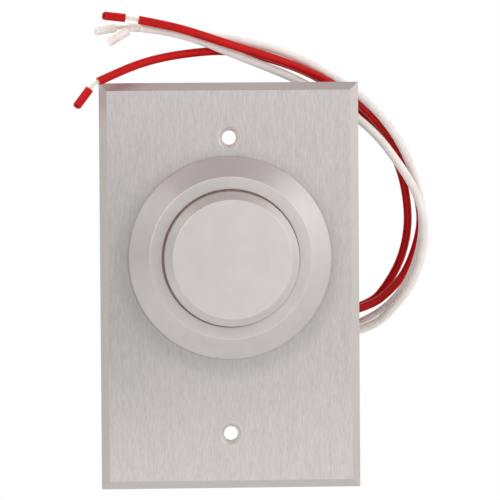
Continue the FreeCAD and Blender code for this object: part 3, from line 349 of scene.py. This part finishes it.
tree, place = start_finish("tinned_strands")
tarnish = add(tree, "ShaderNodeTexNoise", {
    "Vector": place, "Scale": 1 / TARNISH_SIZE, "Detail": 3.0})
tone = two_tones(tree, tarnish.outputs["Fac"], "#e6dccb", "#fff8ec", low=0.3, high=0.7)
shader = add(tree, "ShaderNodeBsdfPrincipled", {
    "Base Color": tone, "Metallic": 0.6, "Roughness": 0.42})
end_finish(tree, shader)

# %% [markdown]
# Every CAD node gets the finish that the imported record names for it. The nodes that a
# finer piece replaces later are hidden, but the others stay as they are, so this one
# loop dresses the washer, the bracket, the switches and all the inner parts.

# %% Finishes on the CAD nodes
for part in frame["record"]["subparts"]:
    shown = frame["nodes"][part["node"]]
    shown.data.materials.clear()
    shown.data.materials.append(FINISHES[part["material_slot"]])

# %% [markdown]
# A mesh becomes a piece of the model in one way throughout: it gets a finish, it rides
# on the body that carries the real part, and the CAD node that it stands for is hidden.
# The helper prints its size. A bmesh is Blender's way to build a mesh by hand, and the
# second helper turns it into a mesh that shades smoothly, except at the edges that are
# sharp on the real part.

# %% Helpers that make and place a piece
MM = 0.001
SOFT_ANGLE = math.radians(32)


def place_piece(name, data, body, finish, node):
    """Put a mesh or a curve in the scene, on its body, in its finish, for its CAD node."""
    piece = bpy.data.objects.new(name, data)
    bpy.context.scene.collection.objects.link(piece)
    data.materials.append(FINISHES[finish])
    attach(piece, body)
    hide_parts(node)
    bpy.context.view_layer.update()
    print(name, "measures, mm:", [round(size / MM, 2) for size in piece.dimensions])
    return piece


def mesh_of(name, shape):
    """Turn a bmesh into a mesh that shades smoothly up to its sharp edges."""
    bmesh.ops.recalc_face_normals(shape, faces=shape.faces)
    mesh = bpy.data.meshes.new(name)
    shape.to_mesh(mesh)
    shape.free()
    mesh.shade_smooth()
    mesh.set_sharp_from_angle(angle=SOFT_ANGLE)
    return mesh


# %% [markdown]
# Each lead is a stranded hook-up wire, 2.4 mm across its insulation. It leaves the
# switch compartment on the right, loops up beside the plate and crosses behind its top
# edge. A cord is drawn best as a NURBS spline: its control points are the corners of
# the CAD route, moved by about a millimetre at most where the photograph's crossings ask
# for it, and the spline rounds them into one smooth line. Each lead also has the place
# that its tip points to, the length that is stripped bare, and the slant of its end.

# %% Routes of the four leads, metres
LEADS = {
    "white_front": {
        "finish": "white_insulation",
        "length": 0.1678,
        "slug_end": (-0.0338, 0.0012, 0.0684),
        "strip": 0.0036,
        "slant": 0.0,
        "points": (
            (0.0180, 0.0290, -0.0170), (0.0300, 0.0290, -0.0170), (0.0435, 0.0280, -0.0136),
            (0.0487, 0.0265, -0.0084), (0.0533, 0.0249, -0.0026), (0.0563, 0.0229, 0.0045),
            (0.0576, 0.0210, 0.0123), (0.0568, 0.0194, 0.0202), (0.0537, 0.0174, 0.0277),
            (0.0492, 0.0152, 0.0343), (0.0436, 0.0127, 0.0415), (0.0366, 0.0102, 0.0476),
            (0.0283, 0.0095, 0.0534), (0.0192, 0.0086, 0.0584), (0.0100, 0.0074, 0.0621),
            (0.0008, 0.0059, 0.0657), (-0.0080, 0.0045, 0.0693), (-0.0168, 0.0033, 0.0718),
            (-0.0247, 0.0023, 0.0727),
        ),
    },
    "white_rear": {
        "finish": "white_insulation",
        "length": 0.1759,
        "slug_end": (-0.0368, 0.0056, 0.0719),
        "strip": 0.0030,
        "slant": 0.5,
        "points": (
            (0.0180, 0.0360, -0.0170), (0.0300, 0.0360, -0.0170), (0.0428, 0.0326, -0.0115),
            (0.0486, 0.0296, -0.0070), (0.0532, 0.0275, -0.0009), (0.0563, 0.0261, 0.0072),
            (0.0576, 0.0249, 0.0158), (0.0560, 0.0221, 0.0260), (0.0523, 0.0183, 0.0360),
            (0.0474, 0.0144, 0.0440), (0.0412, 0.0116, 0.0508), (0.0331, 0.0098, 0.0570),
            (0.0246, 0.0094, 0.0622), (0.0155, 0.0091, 0.0662), (0.0061, 0.0083, 0.0687),
            (-0.0036, 0.0073, 0.0703), (-0.0130, 0.0066, 0.0717), (-0.0209, 0.0058, 0.0726),
            (-0.0283, 0.0052, 0.0730),
        ),
    },
    "red_front": {
        "finish": "red_insulation",
        "length": 0.1672,
        "slug_end": (-0.0349, -0.0006, 0.0761),
        "strip": 0.0038,
        "slant": 0.5,
        "points": (
            (0.0180, 0.0290, -0.0106), (0.0300, 0.0290, -0.0106), (0.0427, 0.0310, -0.0078),
            (0.0485, 0.0315, -0.0034), (0.0529, 0.0314, 0.0018), (0.0560, 0.0306, 0.0094),
            (0.0575, 0.0290, 0.0175), (0.0557, 0.0260, 0.0260), (0.0514, 0.0218, 0.0349),
            (0.0466, 0.0174, 0.0422), (0.0401, 0.0131, 0.0495), (0.0323, 0.0098, 0.0555),
            (0.0235, 0.0075, 0.0602), (0.0145, 0.0059, 0.0637), (0.0056, 0.0043, 0.0664),
            (-0.0032, 0.0028, 0.0692), (-0.0117, 0.0014, 0.0720), (-0.0188, 0.0006, 0.0737),
            (-0.0251, 0.0001, 0.0749),
        ),
    },
    "red_rear": {
        "finish": "red_insulation",
        "length": 0.1768,
        "slug_end": (-0.0428, -0.0074, 0.0506),
        "strip": 0.0034,
        "slant": 0.5,
        "points": (
            (0.0180, 0.0360, -0.0106), (0.0300, 0.0360, -0.0106), (0.0433, 0.0357, -0.0074),
            (0.0483, 0.0354, -0.0013), (0.0520, 0.0344, 0.0058), (0.0538, 0.0325, 0.0142),
            (0.0534, 0.0295, 0.0224), (0.0512, 0.0256, 0.0318), (0.0471, 0.0214, 0.0398),
            (0.0409, 0.0174, 0.0475), (0.0326, 0.0146, 0.0549), (0.0235, 0.0128, 0.0601),
            (0.0142, 0.0112, 0.0635), (0.0056, 0.0097, 0.0657), (-0.0020, 0.0083, 0.0663),
            (-0.0088, 0.0058, 0.0658), (-0.0160, 0.0026, 0.0648), (-0.0227, -0.0006, 0.0633),
            (-0.0294, -0.0037, 0.0609), (-0.0366, -0.0062, 0.0576),
        ),
    },
}
print("control points of each lead:", [len(lead["points"]) for lead in LEADS.values()])

# %% [markdown]
# Insulation is extruded round the strands, so it is drawn in the same way: a circle is
# swept along the spline and closed at its ends. A mesh could do it too, but a curve
# stays round in every bend, and moving one control point lays the wire anew.

# %% Insulated leads
LEAD_RADIUS = 0.0012
SPLINE_ORDER = 3
SPLINE_STEPS = 12
SECTION_STEPS = 6


def smooth_curve(name, points, radius):
    """A NURBS curve of one open spline, as a solid round line if it has a radius."""
    curve = bpy.data.curves.new(name, "CURVE")
    curve.dimensions = "3D"
    line = curve.splines.new("NURBS")
    line.points.add(len(points) - 1)
    for control, place in zip(line.points, points):
        control.co = (*place, 1.0)
    # Blender lowers the order of a spline without points, so it is set after them.
    line.order_u = SPLINE_ORDER
    line.use_endpoint_u = True
    line.resolution_u = SPLINE_STEPS
    curve.bevel_depth = radius
    curve.bevel_resolution = SECTION_STEPS
    curve.use_fill_caps = radius > 0
    return curve


for name, lead in LEADS.items():
    curve = smooth_curve("lead_" + name, lead["points"], LEAD_RADIUS)
    place_piece(
        "insulation_" + name, curve, "mechanism", lead["finish"], "lead_" + name)

# %% [markdown]
# Thin wires and the spring are tubes along a line. They could be curves as well, but the
# turned parts and the plate need a helper that joins rings of vertices, and it serves
# here too: at each place a ring stands square to the line, and faces join the rings. The
# direction to a ring's first vertex is carried along the line and only straightened, so
# a tube doesn't twist.

# %% Tubes along a line
def ways_along(line):
    """Direction of a line at each of its places."""
    ends = [line[0]] + line + [line[-1]]
    return [(after - before).normalized() for before, after in zip(ends, ends[2:])]


def join_rings(shape, rings):
    """Skin rings of the same number of vertices with four-sided faces."""
    for low, high in zip(rings, rings[1:]):
        for here in range(len(low)):
            there = (here + 1) % len(low)
            shape.faces.new((low[here], low[there], high[there], high[here]))


def add_tube(shape, line, radius, sides):
    """Add a round closed tube along a line to a bmesh."""
    side = ways_along(line)[0].orthogonal().normalized()
    rings = []
    for spot, way in zip(line, ways_along(line)):
        side = (side - side.dot(way) * way).normalized()
        other = way.cross(side)
        turns = [2 * math.pi * number / sides for number in range(sides)]
        rings.append([
            shape.verts.new(spot + radius * (math.cos(turn) * side + math.sin(turn) * other))
            for turn in turns])
    join_rings(shape, rings)
    shape.faces.new(rings[0])
    shape.faces.new(rings[-1])


elbow = [Vector((0, 0, 0)), Vector((0, 1, 0)), Vector((0, 1, 1))]
print("way through an elbow:", [round(part, 2) for part in ways_along(elbow)[1]])

# %% [markdown]
# Beyond the end of the insulation a few millimetres of bare strands show. They are 19
# thin wires in a twisted bundle: one in the middle, six round it and twelve outside. The
# turn of a wire grows with the way travelled, a full one in every lay length, as on the
# machine that lays them.

# %% Twisted strands
WIRE_RADIUS = 0.000118
WIRE_SIDES = 6
LAY_LENGTH = 0.016
BUNDLE = ((1, 0.0), (6, 0.00024), (12, 0.00046))


def twisted_bundle(line):
    """Nineteen wires laid round a line, each a thin tube."""
    shape = bmesh.new()
    ways = ways_along(line)
    side = ways[0].orthogonal().normalized()
    for count, offset in BUNDLE:
        for number in range(count):
            travelled = 0.0
            wire = []
            for index, (spot, way) in enumerate(zip(line, ways)):
                if index:
                    travelled += (spot - line[index - 1]).length
                side = (side - side.dot(way) * way).normalized()
                turn = 2 * math.pi * (number / count + travelled / LAY_LENGTH)
                wire.append(spot + offset * (
                    math.cos(turn) * side + math.sin(turn) * way.cross(side)))
            add_tube(shape, wire, WIRE_RADIUS, WIRE_SIDES)
    return shape


print("wires in a bundle:", sum(count for count, offset in BUNDLE))

# %% [markdown]
# The slugs, the collar and the button are round, so each is a profile turned about an
# axis. A profile is a list of corners, each with the small rounding that a broken edge
# has on the real part. A bevel modifier could round them all alike, but here each corner
# has a radius of its own.

# %% Turned shapes
ROUND_STEPS = 5
HOLDING_REACH = 1.4
TURNED_SIDES = 256


def soften(corners):
    """Round the corners of an open profile; a corner is (along, across, radius).

    A point just outside each rounding holds the smooth shading to the rounding itself.
    """
    line = [Vector(corners[0][:2])]
    for before, corner, after in zip(corners, corners[1:], corners[2:]):
        here = Vector(corner[:2])
        back = (Vector(before[:2]) - here).normalized()
        ahead = (Vector(after[:2]) - here).normalized()
        if not corner[2]:
            line.append(here)
            continue
        reach = corner[2] / math.tan(back.angle(ahead) / 2)
        line.append(here + HOLDING_REACH * reach * back)
        for step in range(ROUND_STEPS + 1):
            share = step / ROUND_STEPS
            line.append(here + (1 - share) ** 2 * reach * back + share ** 2 * reach * ahead)
        line.append(here + HOLDING_REACH * reach * ahead)
    return line + [Vector(corners[-1][:2])]


def round_ring(shape, radius, y, z, sides):
    """One ring of vertices about a line along Y, given in millimetres."""
    turns = [2 * math.pi * number / sides for number in range(sides)]
    return [
        shape.verts.new(Vector((radius * math.cos(turn), y, z + radius * math.sin(turn))) * MM)
        for turn in turns]


def turned(corners, z=0.0, sides=TURNED_SIDES):
    """Revolve a profile of (y, radius, rounding), in millimetres, about a line along Y."""
    shape = bmesh.new()
    join_rings(shape, [round_ring(shape, radius, y, z, sides) for y, radius in soften(corners)])
    bmesh.ops.remove_doubles(shape, verts=shape.verts, dist=1e-7)
    return shape


print("points in a rounded corner:", len(soften([(0, 0, 0), (0, 1, 0.1), (1, 1, 0)])) - 2)

# %% [markdown]
# A short piece of insulation, a slug, is left on the tip of the strands and keeps them
# together until the lead is wired in. The wires run straight on for a little and then
# bend towards the slug, along the line that Blender's own spline gives.
# A slug is a turned sleeve with a hollow outer end, and beyond a certain length it is
# sheared, as the tool cut it on the slant.

# %% Strands, slugs and cords
STRIP_STRAIGHT = 0.0016
STRAND_TUCK = 0.0004
SLUG_LENGTH = 0.0066
SLUG_SIDES = 40
SLANT_FROM = 0.0042
CORE_RADIUS = 0.5
SLUG_BORE = 0.62
HOLLOW_DEPTH = 1.2


def spline_line(points):
    """Places along the smooth line of a NURBS spline, read from Blender's own curve."""
    guide = bpy.data.objects.new("guide", smooth_curve("guide", points, 0.0))
    drawn = bpy.data.meshes.new_from_object(guide)
    line = [vertex.co.copy() for vertex in drawn.vertices]
    bpy.data.objects.remove(guide)
    bpy.data.meshes.remove(drawn)
    return line


def slug_sleeve(slant):
    """A slug from the origin along Y, its outer end cut on the slant."""
    length = SLUG_LENGTH / MM
    outer = LEAD_RADIUS / MM
    hollow = length - HOLLOW_DEPTH
    sleeve = turned([
        (0.0, CORE_RADIUS, 0), (0.0, outer, 0.15), (length, outer, 0.25),
        (length, SLUG_BORE, 0.1), (hollow, SLUG_BORE, 0), (hollow, 0.0, 0)], sides=SLUG_SIDES)
    for vertex in sleeve.verts:
        if vertex.co.y > SLANT_FROM:
            share = (vertex.co.y - SLANT_FROM) / (SLUG_LENGTH - SLANT_FROM)
            vertex.co.y += share * slant * (vertex.co.x - LEAD_RADIUS)
    return sleeve


for name, lead in LEADS.items():
    end = Vector(lead["points"][-1])
    way = (end - Vector(lead["points"][-2])).normalized()
    corner = end + way * STRIP_STRAIGHT
    along = (Vector(lead["slug_end"]) - corner).normalized()
    slug_start = corner + along * (lead["strip"] - STRIP_STRAIGHT)
    line = spline_line([end - way * STRAND_TUCK, corner, slug_start + along * STRAND_TUCK])
    strands = place_piece("wires_" + name, mesh_of("wires_" + name, twisted_bundle(line)),
                          "mechanism", "tinned_strands", "strands_" + name)
    sleeve = slug_sleeve(lead["slant"])
    bmesh.ops.transform(sleeve, verts=sleeve.verts, matrix=(
        Matrix.Translation(slug_start) @ along.to_track_quat("Y", "Z").to_matrix().to_4x4()))
    slug = place_piece("loose_" + name, mesh_of("loose_" + name, sleeve),
                       "mechanism", lead["finish"], "slug_" + name)

# %% [markdown]
# The plate is drawn as rings round its outline and round its holes. A real edge is
# never perfectly sharp: a rounding of about 0.15 mm along the bevel catches a thin
# line of light. The outline comes first, each ring drawn in by an inset.

# %% Outline of the wall plate
PLATE_WIDTH = 73.0
PLATE_HEIGHT = 114.3
PLATE_FRONT = -3.175
BEVEL_WIDTH = 2.25
BEVEL_FOOT = -1.525
CORNER_ROUND = 0.25
CORNER_STEPS = 3


def plate_ring(shape, inset, y):
    """One ring of the plate's outline, drawn in by an inset."""
    ring = []
    for right, up, first in ((1, 1, 0), (-1, 1, 90), (-1, -1, 180), (1, -1, 270)):
        for step in range(CORNER_STEPS + 1):
            turn = math.radians(first + 90 / CORNER_STEPS * step)
            x = right * (PLATE_WIDTH / 2 - inset - CORNER_ROUND) + CORNER_ROUND * math.cos(turn)
            z = up * (PLATE_HEIGHT / 2 - inset - CORNER_ROUND) + CORNER_ROUND * math.sin(turn)
            ring.append(shape.verts.new(Vector((x, y, z)) * MM))
    return ring


slope = math.atan2(BEVEL_FOOT - PLATE_FRONT, BEVEL_WIDTH)
print("slope of the bevel, degrees:", round(math.degrees(slope), 1))

# %% [markdown]
# The plate has a hole for the collar's barrel and two countersunk holes for the screws
# of the wall box. Each hole is a profile too, from the back through to the front. The
# flats of the front and the back, between the rings, are filled last.

# %% Mesh of the wall plate
BUTTON_Z = 7.94
BARREL_HOLE = 23.15
BARREL_SIDES = 96
SCREW_SPACING = 83.34
SCREW_HOLE = 2.0
SCREW_SIDES = 64
SINK_RADIUS = 3.15
SINK_FLOOR = -1.852
FLAT_STRIP = 0.6
HOLE_STRIP = 0.4
SINK_STRIP = 0.5
EDGE_ROUND = 0.12
BEVEL_ROUND = 0.14
HOLE_ROUND = 0.1
SCREW_ROUND = 0.08
SINK_ROUND = 0.06


def edges_of(ring):
    """Edges between neighbours in a ring of vertices."""
    return [edge for vertex in ring for edge in vertex.link_edges
            if edge.other_vert(vertex) in ring]


def wall_plate():
    """The whole plate: its outline, the hole for the collar and two countersunk holes."""
    shape = bmesh.new()
    outline = [plate_ring(shape, inset, y) for inset, y in soften([
        (FLAT_STRIP, 0.0, 0), (0.0, 0.0, EDGE_ROUND), (0.0, BEVEL_FOOT, EDGE_ROUND),
        (BEVEL_WIDTH, PLATE_FRONT, BEVEL_ROUND), (BEVEL_WIDTH + FLAT_STRIP, PLATE_FRONT, 0)])]
    front = [outline[-1]]
    back = [outline[0]]
    join_rings(shape, outline)
    barrel_hole = [
        (BARREL_HOLE + HOLE_STRIP, 0.0, 0), (BARREL_HOLE, 0.0, HOLE_ROUND),
        (BARREL_HOLE, PLATE_FRONT, HOLE_ROUND), (BARREL_HOLE + HOLE_STRIP, PLATE_FRONT, 0)]
    screw_hole = [
        (SCREW_HOLE + HOLE_STRIP, 0.0, 0), (SCREW_HOLE, 0.0, SCREW_ROUND),
        (SCREW_HOLE, SINK_FLOOR, SINK_ROUND), (SINK_RADIUS, PLATE_FRONT, EDGE_ROUND),
        (SINK_RADIUS + SINK_STRIP, PLATE_FRONT, 0)]
    for z, corners, sides in (
        (BUTTON_Z, barrel_hole, BARREL_SIDES),
        (-SCREW_SPACING / 2, screw_hole, SCREW_SIDES),
        (SCREW_SPACING / 2, screw_hole, SCREW_SIDES),
    ):
        rings = [round_ring(shape, radius, y, z, sides) for radius, y in soften(corners)]
        join_rings(shape, rings)
        back.append(rings[0])
        front.append(rings[-1])
    for loops in (front, back):
        rims = {edge for ring in loops for edge in edges_of(ring)}
        bmesh.ops.triangle_fill(shape, edges=list(rims), use_beauty=True)
    return shape


plate_mesh = mesh_of("plate", wall_plate())
print("faces of the plate:", len(plate_mesh.polygons))

# %% [markdown]
# The steel's anisotropy needs to know which way the plate was brushed, and a UV map
# tells it: U runs across the grain and V along it. Faces that slant count as milled near
# the outer edge and as drilled round the holes, and get those finishes. The drilled
# finish is painted paler, a painted light on the countersinks.

# %% Grain and finishes of the wall plate
GRAIN_SPAN = 100
GRAIN_SLANT = 0.37
SLANTED_FROM = 0.3
SLANTED_TO = 0.97
EDGE_X = PLATE_WIDTH / 2 - 2 * BEVEL_WIDTH
EDGE_Z = PLATE_HEIGHT / 2 - 2 * BEVEL_WIDTH


def map_grain(mesh):
    """Map the grain: U runs across the brushing and V along it, also on the edges."""
    layer = mesh.uv_layers.new(name="grain")
    for loop in mesh.loops:
        x, y, z = mesh.vertices[loop.vertex_index].co / MM
        layer.data[loop.index].uv = ((x + y) / GRAIN_SPAN, (z + GRAIN_SLANT * y) / GRAIN_SPAN)


map_grain(plate_mesh)
place_piece("brushed_plate", plate_mesh, "mechanism", "brushed_stainless", "wall_plate")
plate_mesh.materials.append(FINISHES["milled_bevel"])
# Painted light: the countersinks' finish is painted pale.
plate_mesh.materials.append(FINISHES["painted_pale_drilled_steel"])
for face in plate_mesh.polygons:
    near_edge = abs(face.center.x) > EDGE_X * MM or abs(face.center.z) > EDGE_Z * MM
    if SLANTED_FROM < -face.normal.y < SLANTED_TO:
        face.material_index = 1 if near_edge else 2
print("milled faces:", sum(face.material_index == 1 for face in plate_mesh.polygons))

# %% [markdown]
# The collar and the button are lathe work, so both are profiles turned about the
# button's axis, each corner as a place along Y, a radius and a rounding. They could be
# cylinders with cuts, but one profile holds every shoulder and groove at its measured
# place. The collar starts in the middle of its flat front, runs down the cone to the
# plate, back along the threaded barrel and forwards through the bore, past the groove
# that holds the felt wiper.

# %% Collar
COLLAR_FRONT = -8.325
GROOVE_FRONT = -7.425
GROOVE_BACK = -5.825
CONE_FOOT = -4.175
STOP_SHOULDER = -1.025
BARREL_END = 18.0
FRONT_MIDDLE = 21.0
CONE_TOP = 22.8
COLLAR_RADIUS = 28.575
BARREL_RADIUS = 23.0
BARREL_BORE = 20.75
BUTTON_BORE = 19.25
GROOVE_RADIUS = 20.55

collar = turned([
    (COLLAR_FRONT, FRONT_MIDDLE, 0), (COLLAR_FRONT, CONE_TOP, 0.5),
    (CONE_FOOT, COLLAR_RADIUS, 0.35), (PLATE_FRONT, COLLAR_RADIUS, 0.08),
    (PLATE_FRONT, BARREL_RADIUS, 0), (BARREL_END, BARREL_RADIUS, 0.3),
    (BARREL_END, BARREL_BORE, 0.3), (STOP_SHOULDER, BARREL_BORE, 0),
    (STOP_SHOULDER, BUTTON_BORE, 0.15), (GROOVE_BACK, BUTTON_BORE, 0),
    (GROOVE_BACK, GROOVE_RADIUS, 0), (GROOVE_FRONT, GROOVE_RADIUS, 0),
    (GROOVE_FRONT, BUTTON_BORE, 0), (COLLAR_FRONT, BUTTON_BORE, 0.3),
    (COLLAR_FRONT, FRONT_MIDDLE, 0)], z=BUTTON_Z)
place_piece("collar_ring", mesh_of("collar_ring", collar), "mechanism",
            "collar_aluminium", "collar")

# %% [markdown]
# The button is a hollow cup: a flat face with a chamfer, a skirt that rides in the
# collar's bore, a flange that stops it there, and a centre boss with a hole for the
# piston's stud.

# %% Button
BUTTON_FRONT = -18.025
CHAMFER_FOOT = -15.825
CUP_FLOOR = -15.425
STUD_FLOOR = -7.925
FLANGE_FRONT = -0.925
SKIRT_END = 1.075
FACE_RADIUS = 16.575
BUTTON_RADIUS = 18.775
FLANGE_RADIUS = 20.35
CUP_RADIUS = 16.975
BOSS_RADIUS = 5.0
STUD_HOLE = 2.05

button = turned([
    (BUTTON_FRONT, 0.0, 0), (BUTTON_FRONT, FACE_RADIUS, 0.5),
    (CHAMFER_FOOT, BUTTON_RADIUS, 0.5), (FLANGE_FRONT, BUTTON_RADIUS, 0.1),
    (FLANGE_FRONT, FLANGE_RADIUS, 0.15), (SKIRT_END, FLANGE_RADIUS, 0.15),
    (SKIRT_END, CUP_RADIUS, 0.1), (CUP_FLOOR, CUP_RADIUS, 0.5),
    (CUP_FLOOR, BOSS_RADIUS, 0.5), (SKIRT_END, BOSS_RADIUS, 0.2),
    (SKIRT_END, STUD_HOLE, 0), (STUD_FLOOR, STUD_HOLE, 0), (STUD_FLOOR, 0.0, 0)], z=BUTTON_Z)
place_piece("push_button", mesh_of("push_button", button), "pusher",
            "button_aluminium", "button_cap")

# %% [markdown]
# The return spring is the one soft steel part: it shortens as the button goes in, so it
# can't simply ride on a body. A screw modifier could wind it, but here the places along
# the coil are worked out, and the tube helper skins them. It rides on the fixed mechanism
# and gets a mesh of its own.

# %% Return spring
COIL_RADIUS = 9.0
WIRE_DIAMETER = 1.1
COIL_START = 6.925
COIL_END = 21.35
COIL_TURNS = 5
COIL_STEPS = 36
COIL_SIDES = 12

coil = []
for number in range(COIL_TURNS * COIL_STEPS + 1):
    turn = 2 * math.pi * number / COIL_STEPS
    y = COIL_START + (COIL_END - COIL_START) * number / (COIL_TURNS * COIL_STEPS)
    x, z = COIL_RADIUS * math.cos(turn), BUTTON_Z + COIL_RADIUS * math.sin(turn)
    coil.append(Vector((x, y, z)) * MM)
shape = bmesh.new()
add_tube(shape, coil, WIRE_DIAMETER / 2 * MM, COIL_SIDES)
spring = place_piece("coil_spring", mesh_of("coil_spring", shape), "mechanism", "spring_steel",
                     "return_spring")
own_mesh(spring)

# %% [markdown]
# The light is plain and soft. A picture of a studio could give it, but a plain room is
# easier to steer with a few lamps. The room is white for the camera and for what metal
# mirrors, and sheds about as much light on the model.

# %% World
SHED_LIGHT = 1.05

world = bpy.data.worlds.new("studio")
world.use_nodes = True
bpy.context.scene.world = world
tree = world.node_tree
tree.nodes.clear()
ray = add(tree, "ShaderNodeLightPath")
seen = add(tree, "ShaderNodeMath", {
    0: ray.outputs["Is Camera Ray"], 1: ray.outputs["Is Glossy Ray"]}, operation="ADD")
shown = add(tree, "ShaderNodeMath", {
    0: seen.outputs[0], 1: ray.outputs["Is Transmission Ray"]},
    operation="ADD", use_clamp=True)
level = add(tree, "ShaderNodeMapRange", {
    "Value": shown.outputs[0], "To Min": SHED_LIGHT, "To Max": 1.0})
room = add(tree, "ShaderNodeBackground", {
    "Color": linear("#ffffff"), "Strength": level.outputs["Result"]})
add(tree, "ShaderNodeOutputWorld", {"Surface": room.outputs["Background"]})
print("world nodes:", len(tree.nodes))

# %% [markdown]
# Three softboxes give the forms their shade: a large key on the right, one in front on
# the left, and a small one on the right that picks out edges.

# %% Softboxes
def softbox(name, place, size, power):
    """A square lamp of a size in metres and a power in watts that faces the switch."""
    lamp = bpy.data.lights.new(name, "AREA")
    lamp.shape = "SQUARE"
    lamp.size = size
    lamp.energy = power
    box = bpy.data.objects.new(name, lamp)
    box.location = place
    box.rotation_euler = (-Vector(place)).to_track_quat("-Z", "Y").to_euler()
    bpy.context.scene.collection.objects.link(box)


softbox("key_softbox", (0.74, -0.40, 0.46), 0.8, 0.95)
softbox("side_softbox", (-0.50, -0.95, 0.40), 0.45, 1.8)
softbox("edge_softbox", (0.47, -0.79, 0.40), 0.15, 0.5)
print("softboxes:", [lamp.name for lamp in bpy.data.lights])

# %% [markdown]
# Metal looks like what it mirrors, so cards stand where a studio has its screens. The
# one above and the paler one on the left darken the slopes that face them, and the
# bright one below lifts the lower slopes. The two flags stand in front, left of the
# switch, and their blurred images shade the plate beside the collar. The rosy card lies
# close above the plate and warms its top bevel, as the red leads do in the photograph.

# %% Cards
def card(name, centre, right, up, tint, strength):
    """A flat card that only mirroring rays see: it sheds no light and casts no shadow.

    It reaches from its centre by right and left, and by up and down, in metres.
    """
    middle, across, along = Vector(centre), Vector(right), Vector(up)
    corners = [middle - across - along, middle + across - along,
               middle + across + along, middle - across + along]
    mesh = bpy.data.meshes.new(name)
    mesh.from_pydata(corners, [], [(0, 1, 2, 3)])
    paint = bpy.data.materials.new(name)
    paint.use_nodes = True
    paint.node_tree.nodes.clear()
    glow = add(paint.node_tree, "ShaderNodeEmission", {
        "Color": linear(tint), "Strength": strength})
    add(paint.node_tree, "ShaderNodeOutputMaterial", {"Surface": glow.outputs["Emission"]})
    mesh.materials.append(paint)
    made = bpy.data.objects.new(name, mesh)
    made.visible_camera = False
    made.visible_diffuse = False
    made.visible_shadow = False
    bpy.context.scene.collection.objects.link(made)


card("card_above", (-0.03, -0.27, 0.42), (0.33, 0, 0), (0, 0.25, 0), "#fff6f6", 0.48)
card("card_left", (-0.55, -0.15, 0.075), (0, 0.35, 0), (0, 0, 0.225), "#ffffff", 0.68)
card("card_below", (0.02, -0.22, -0.075), (0.16, 0, 0), (0, 0.10, -0.043), "#ffffff", 1.24)
card("pale_flag", (-0.095, -0.21, 0.004), (0.080, 0, 0), (0, 0, 0.046), "#ffffff", 0.50)
card("rose_card", (-0.010, -0.013, 0.090), (0.034, 0, 0), (0, 0.008, 0), "#ffe6ea", 0.80)
card("dark_flag", (-0.065, -0.18, -0.026), (0.080, 0, 0), (0, 0, 0.013), "#ffffff", 0.15)

# %% [markdown]
# The floor is a round sheet of pale paper that keeps the switch's shadow. A square one
# would show its edge as a line, so this one fades into the white room towards its rim.
# Metal mirrors it as an even near-white.

# %% Floor
FLOOR_HEIGHT = -0.12
FLOOR_RADIUS = 0.48
FLOOR_SIDES = 96
FADE_FROM = 0.30
MIRRORED_LEVEL = 0.94

floor_mesh = bpy.data.meshes.new("floor")
turns = [2 * math.pi * number / FLOOR_SIDES for number in range(FLOOR_SIDES)]
floor_mesh.from_pydata([
    (FLOOR_RADIUS * math.cos(turn), FLOOR_RADIUS * math.sin(turn), FLOOR_HEIGHT)
    for turn in turns], [], [tuple(range(FLOOR_SIDES))])
floor = bpy.data.objects.new("floor", floor_mesh)
bpy.context.scene.collection.objects.link(floor)
paint = bpy.data.materials.new("pale_floor")
paint.use_nodes = True
tree = paint.node_tree
tree.nodes.clear()
spot = add(tree, "ShaderNodeTexCoord")
reach = add(tree, "ShaderNodeVectorMath", {0: spot.outputs["Object"]}, operation="LENGTH")
fade = add(tree, "ShaderNodeMapRange", {
    "Value": reach.outputs["Value"], "From Min": FADE_FROM, "From Max": FLOOR_RADIUS})
paper = add(tree, "ShaderNodeBsdfDiffuse", {"Color": linear("#f2f1ef")})
mirrored = add(tree, "ShaderNodeEmission", {
    "Color": linear("#ffffff"), "Strength": MIRRORED_LEVEL})
ray = add(tree, "ShaderNodeLightPath")
lit = add(tree, "ShaderNodeMixShader", {
    "Fac": ray.outputs["Is Glossy Ray"], 1: paper.outputs["BSDF"],
    2: mirrored.outputs["Emission"]})
gone = add(tree, "ShaderNodeBsdfTransparent")
blend = add(tree, "ShaderNodeMixShader", {
    "Fac": fade.outputs["Result"], 1: lit.outputs["Shader"], 2: gone.outputs["BSDF"]})
add(tree, "ShaderNodeOutputMaterial", {"Surface": blend.outputs["Shader"]})
floor_mesh.materials.append(paint)
print("floor nodes:", len(tree.nodes))

# %% [markdown]
# Blender's Standard view shows a colour as it is written.

# %% Colour view
bpy.context.scene.view_settings.view_transform = "Standard"
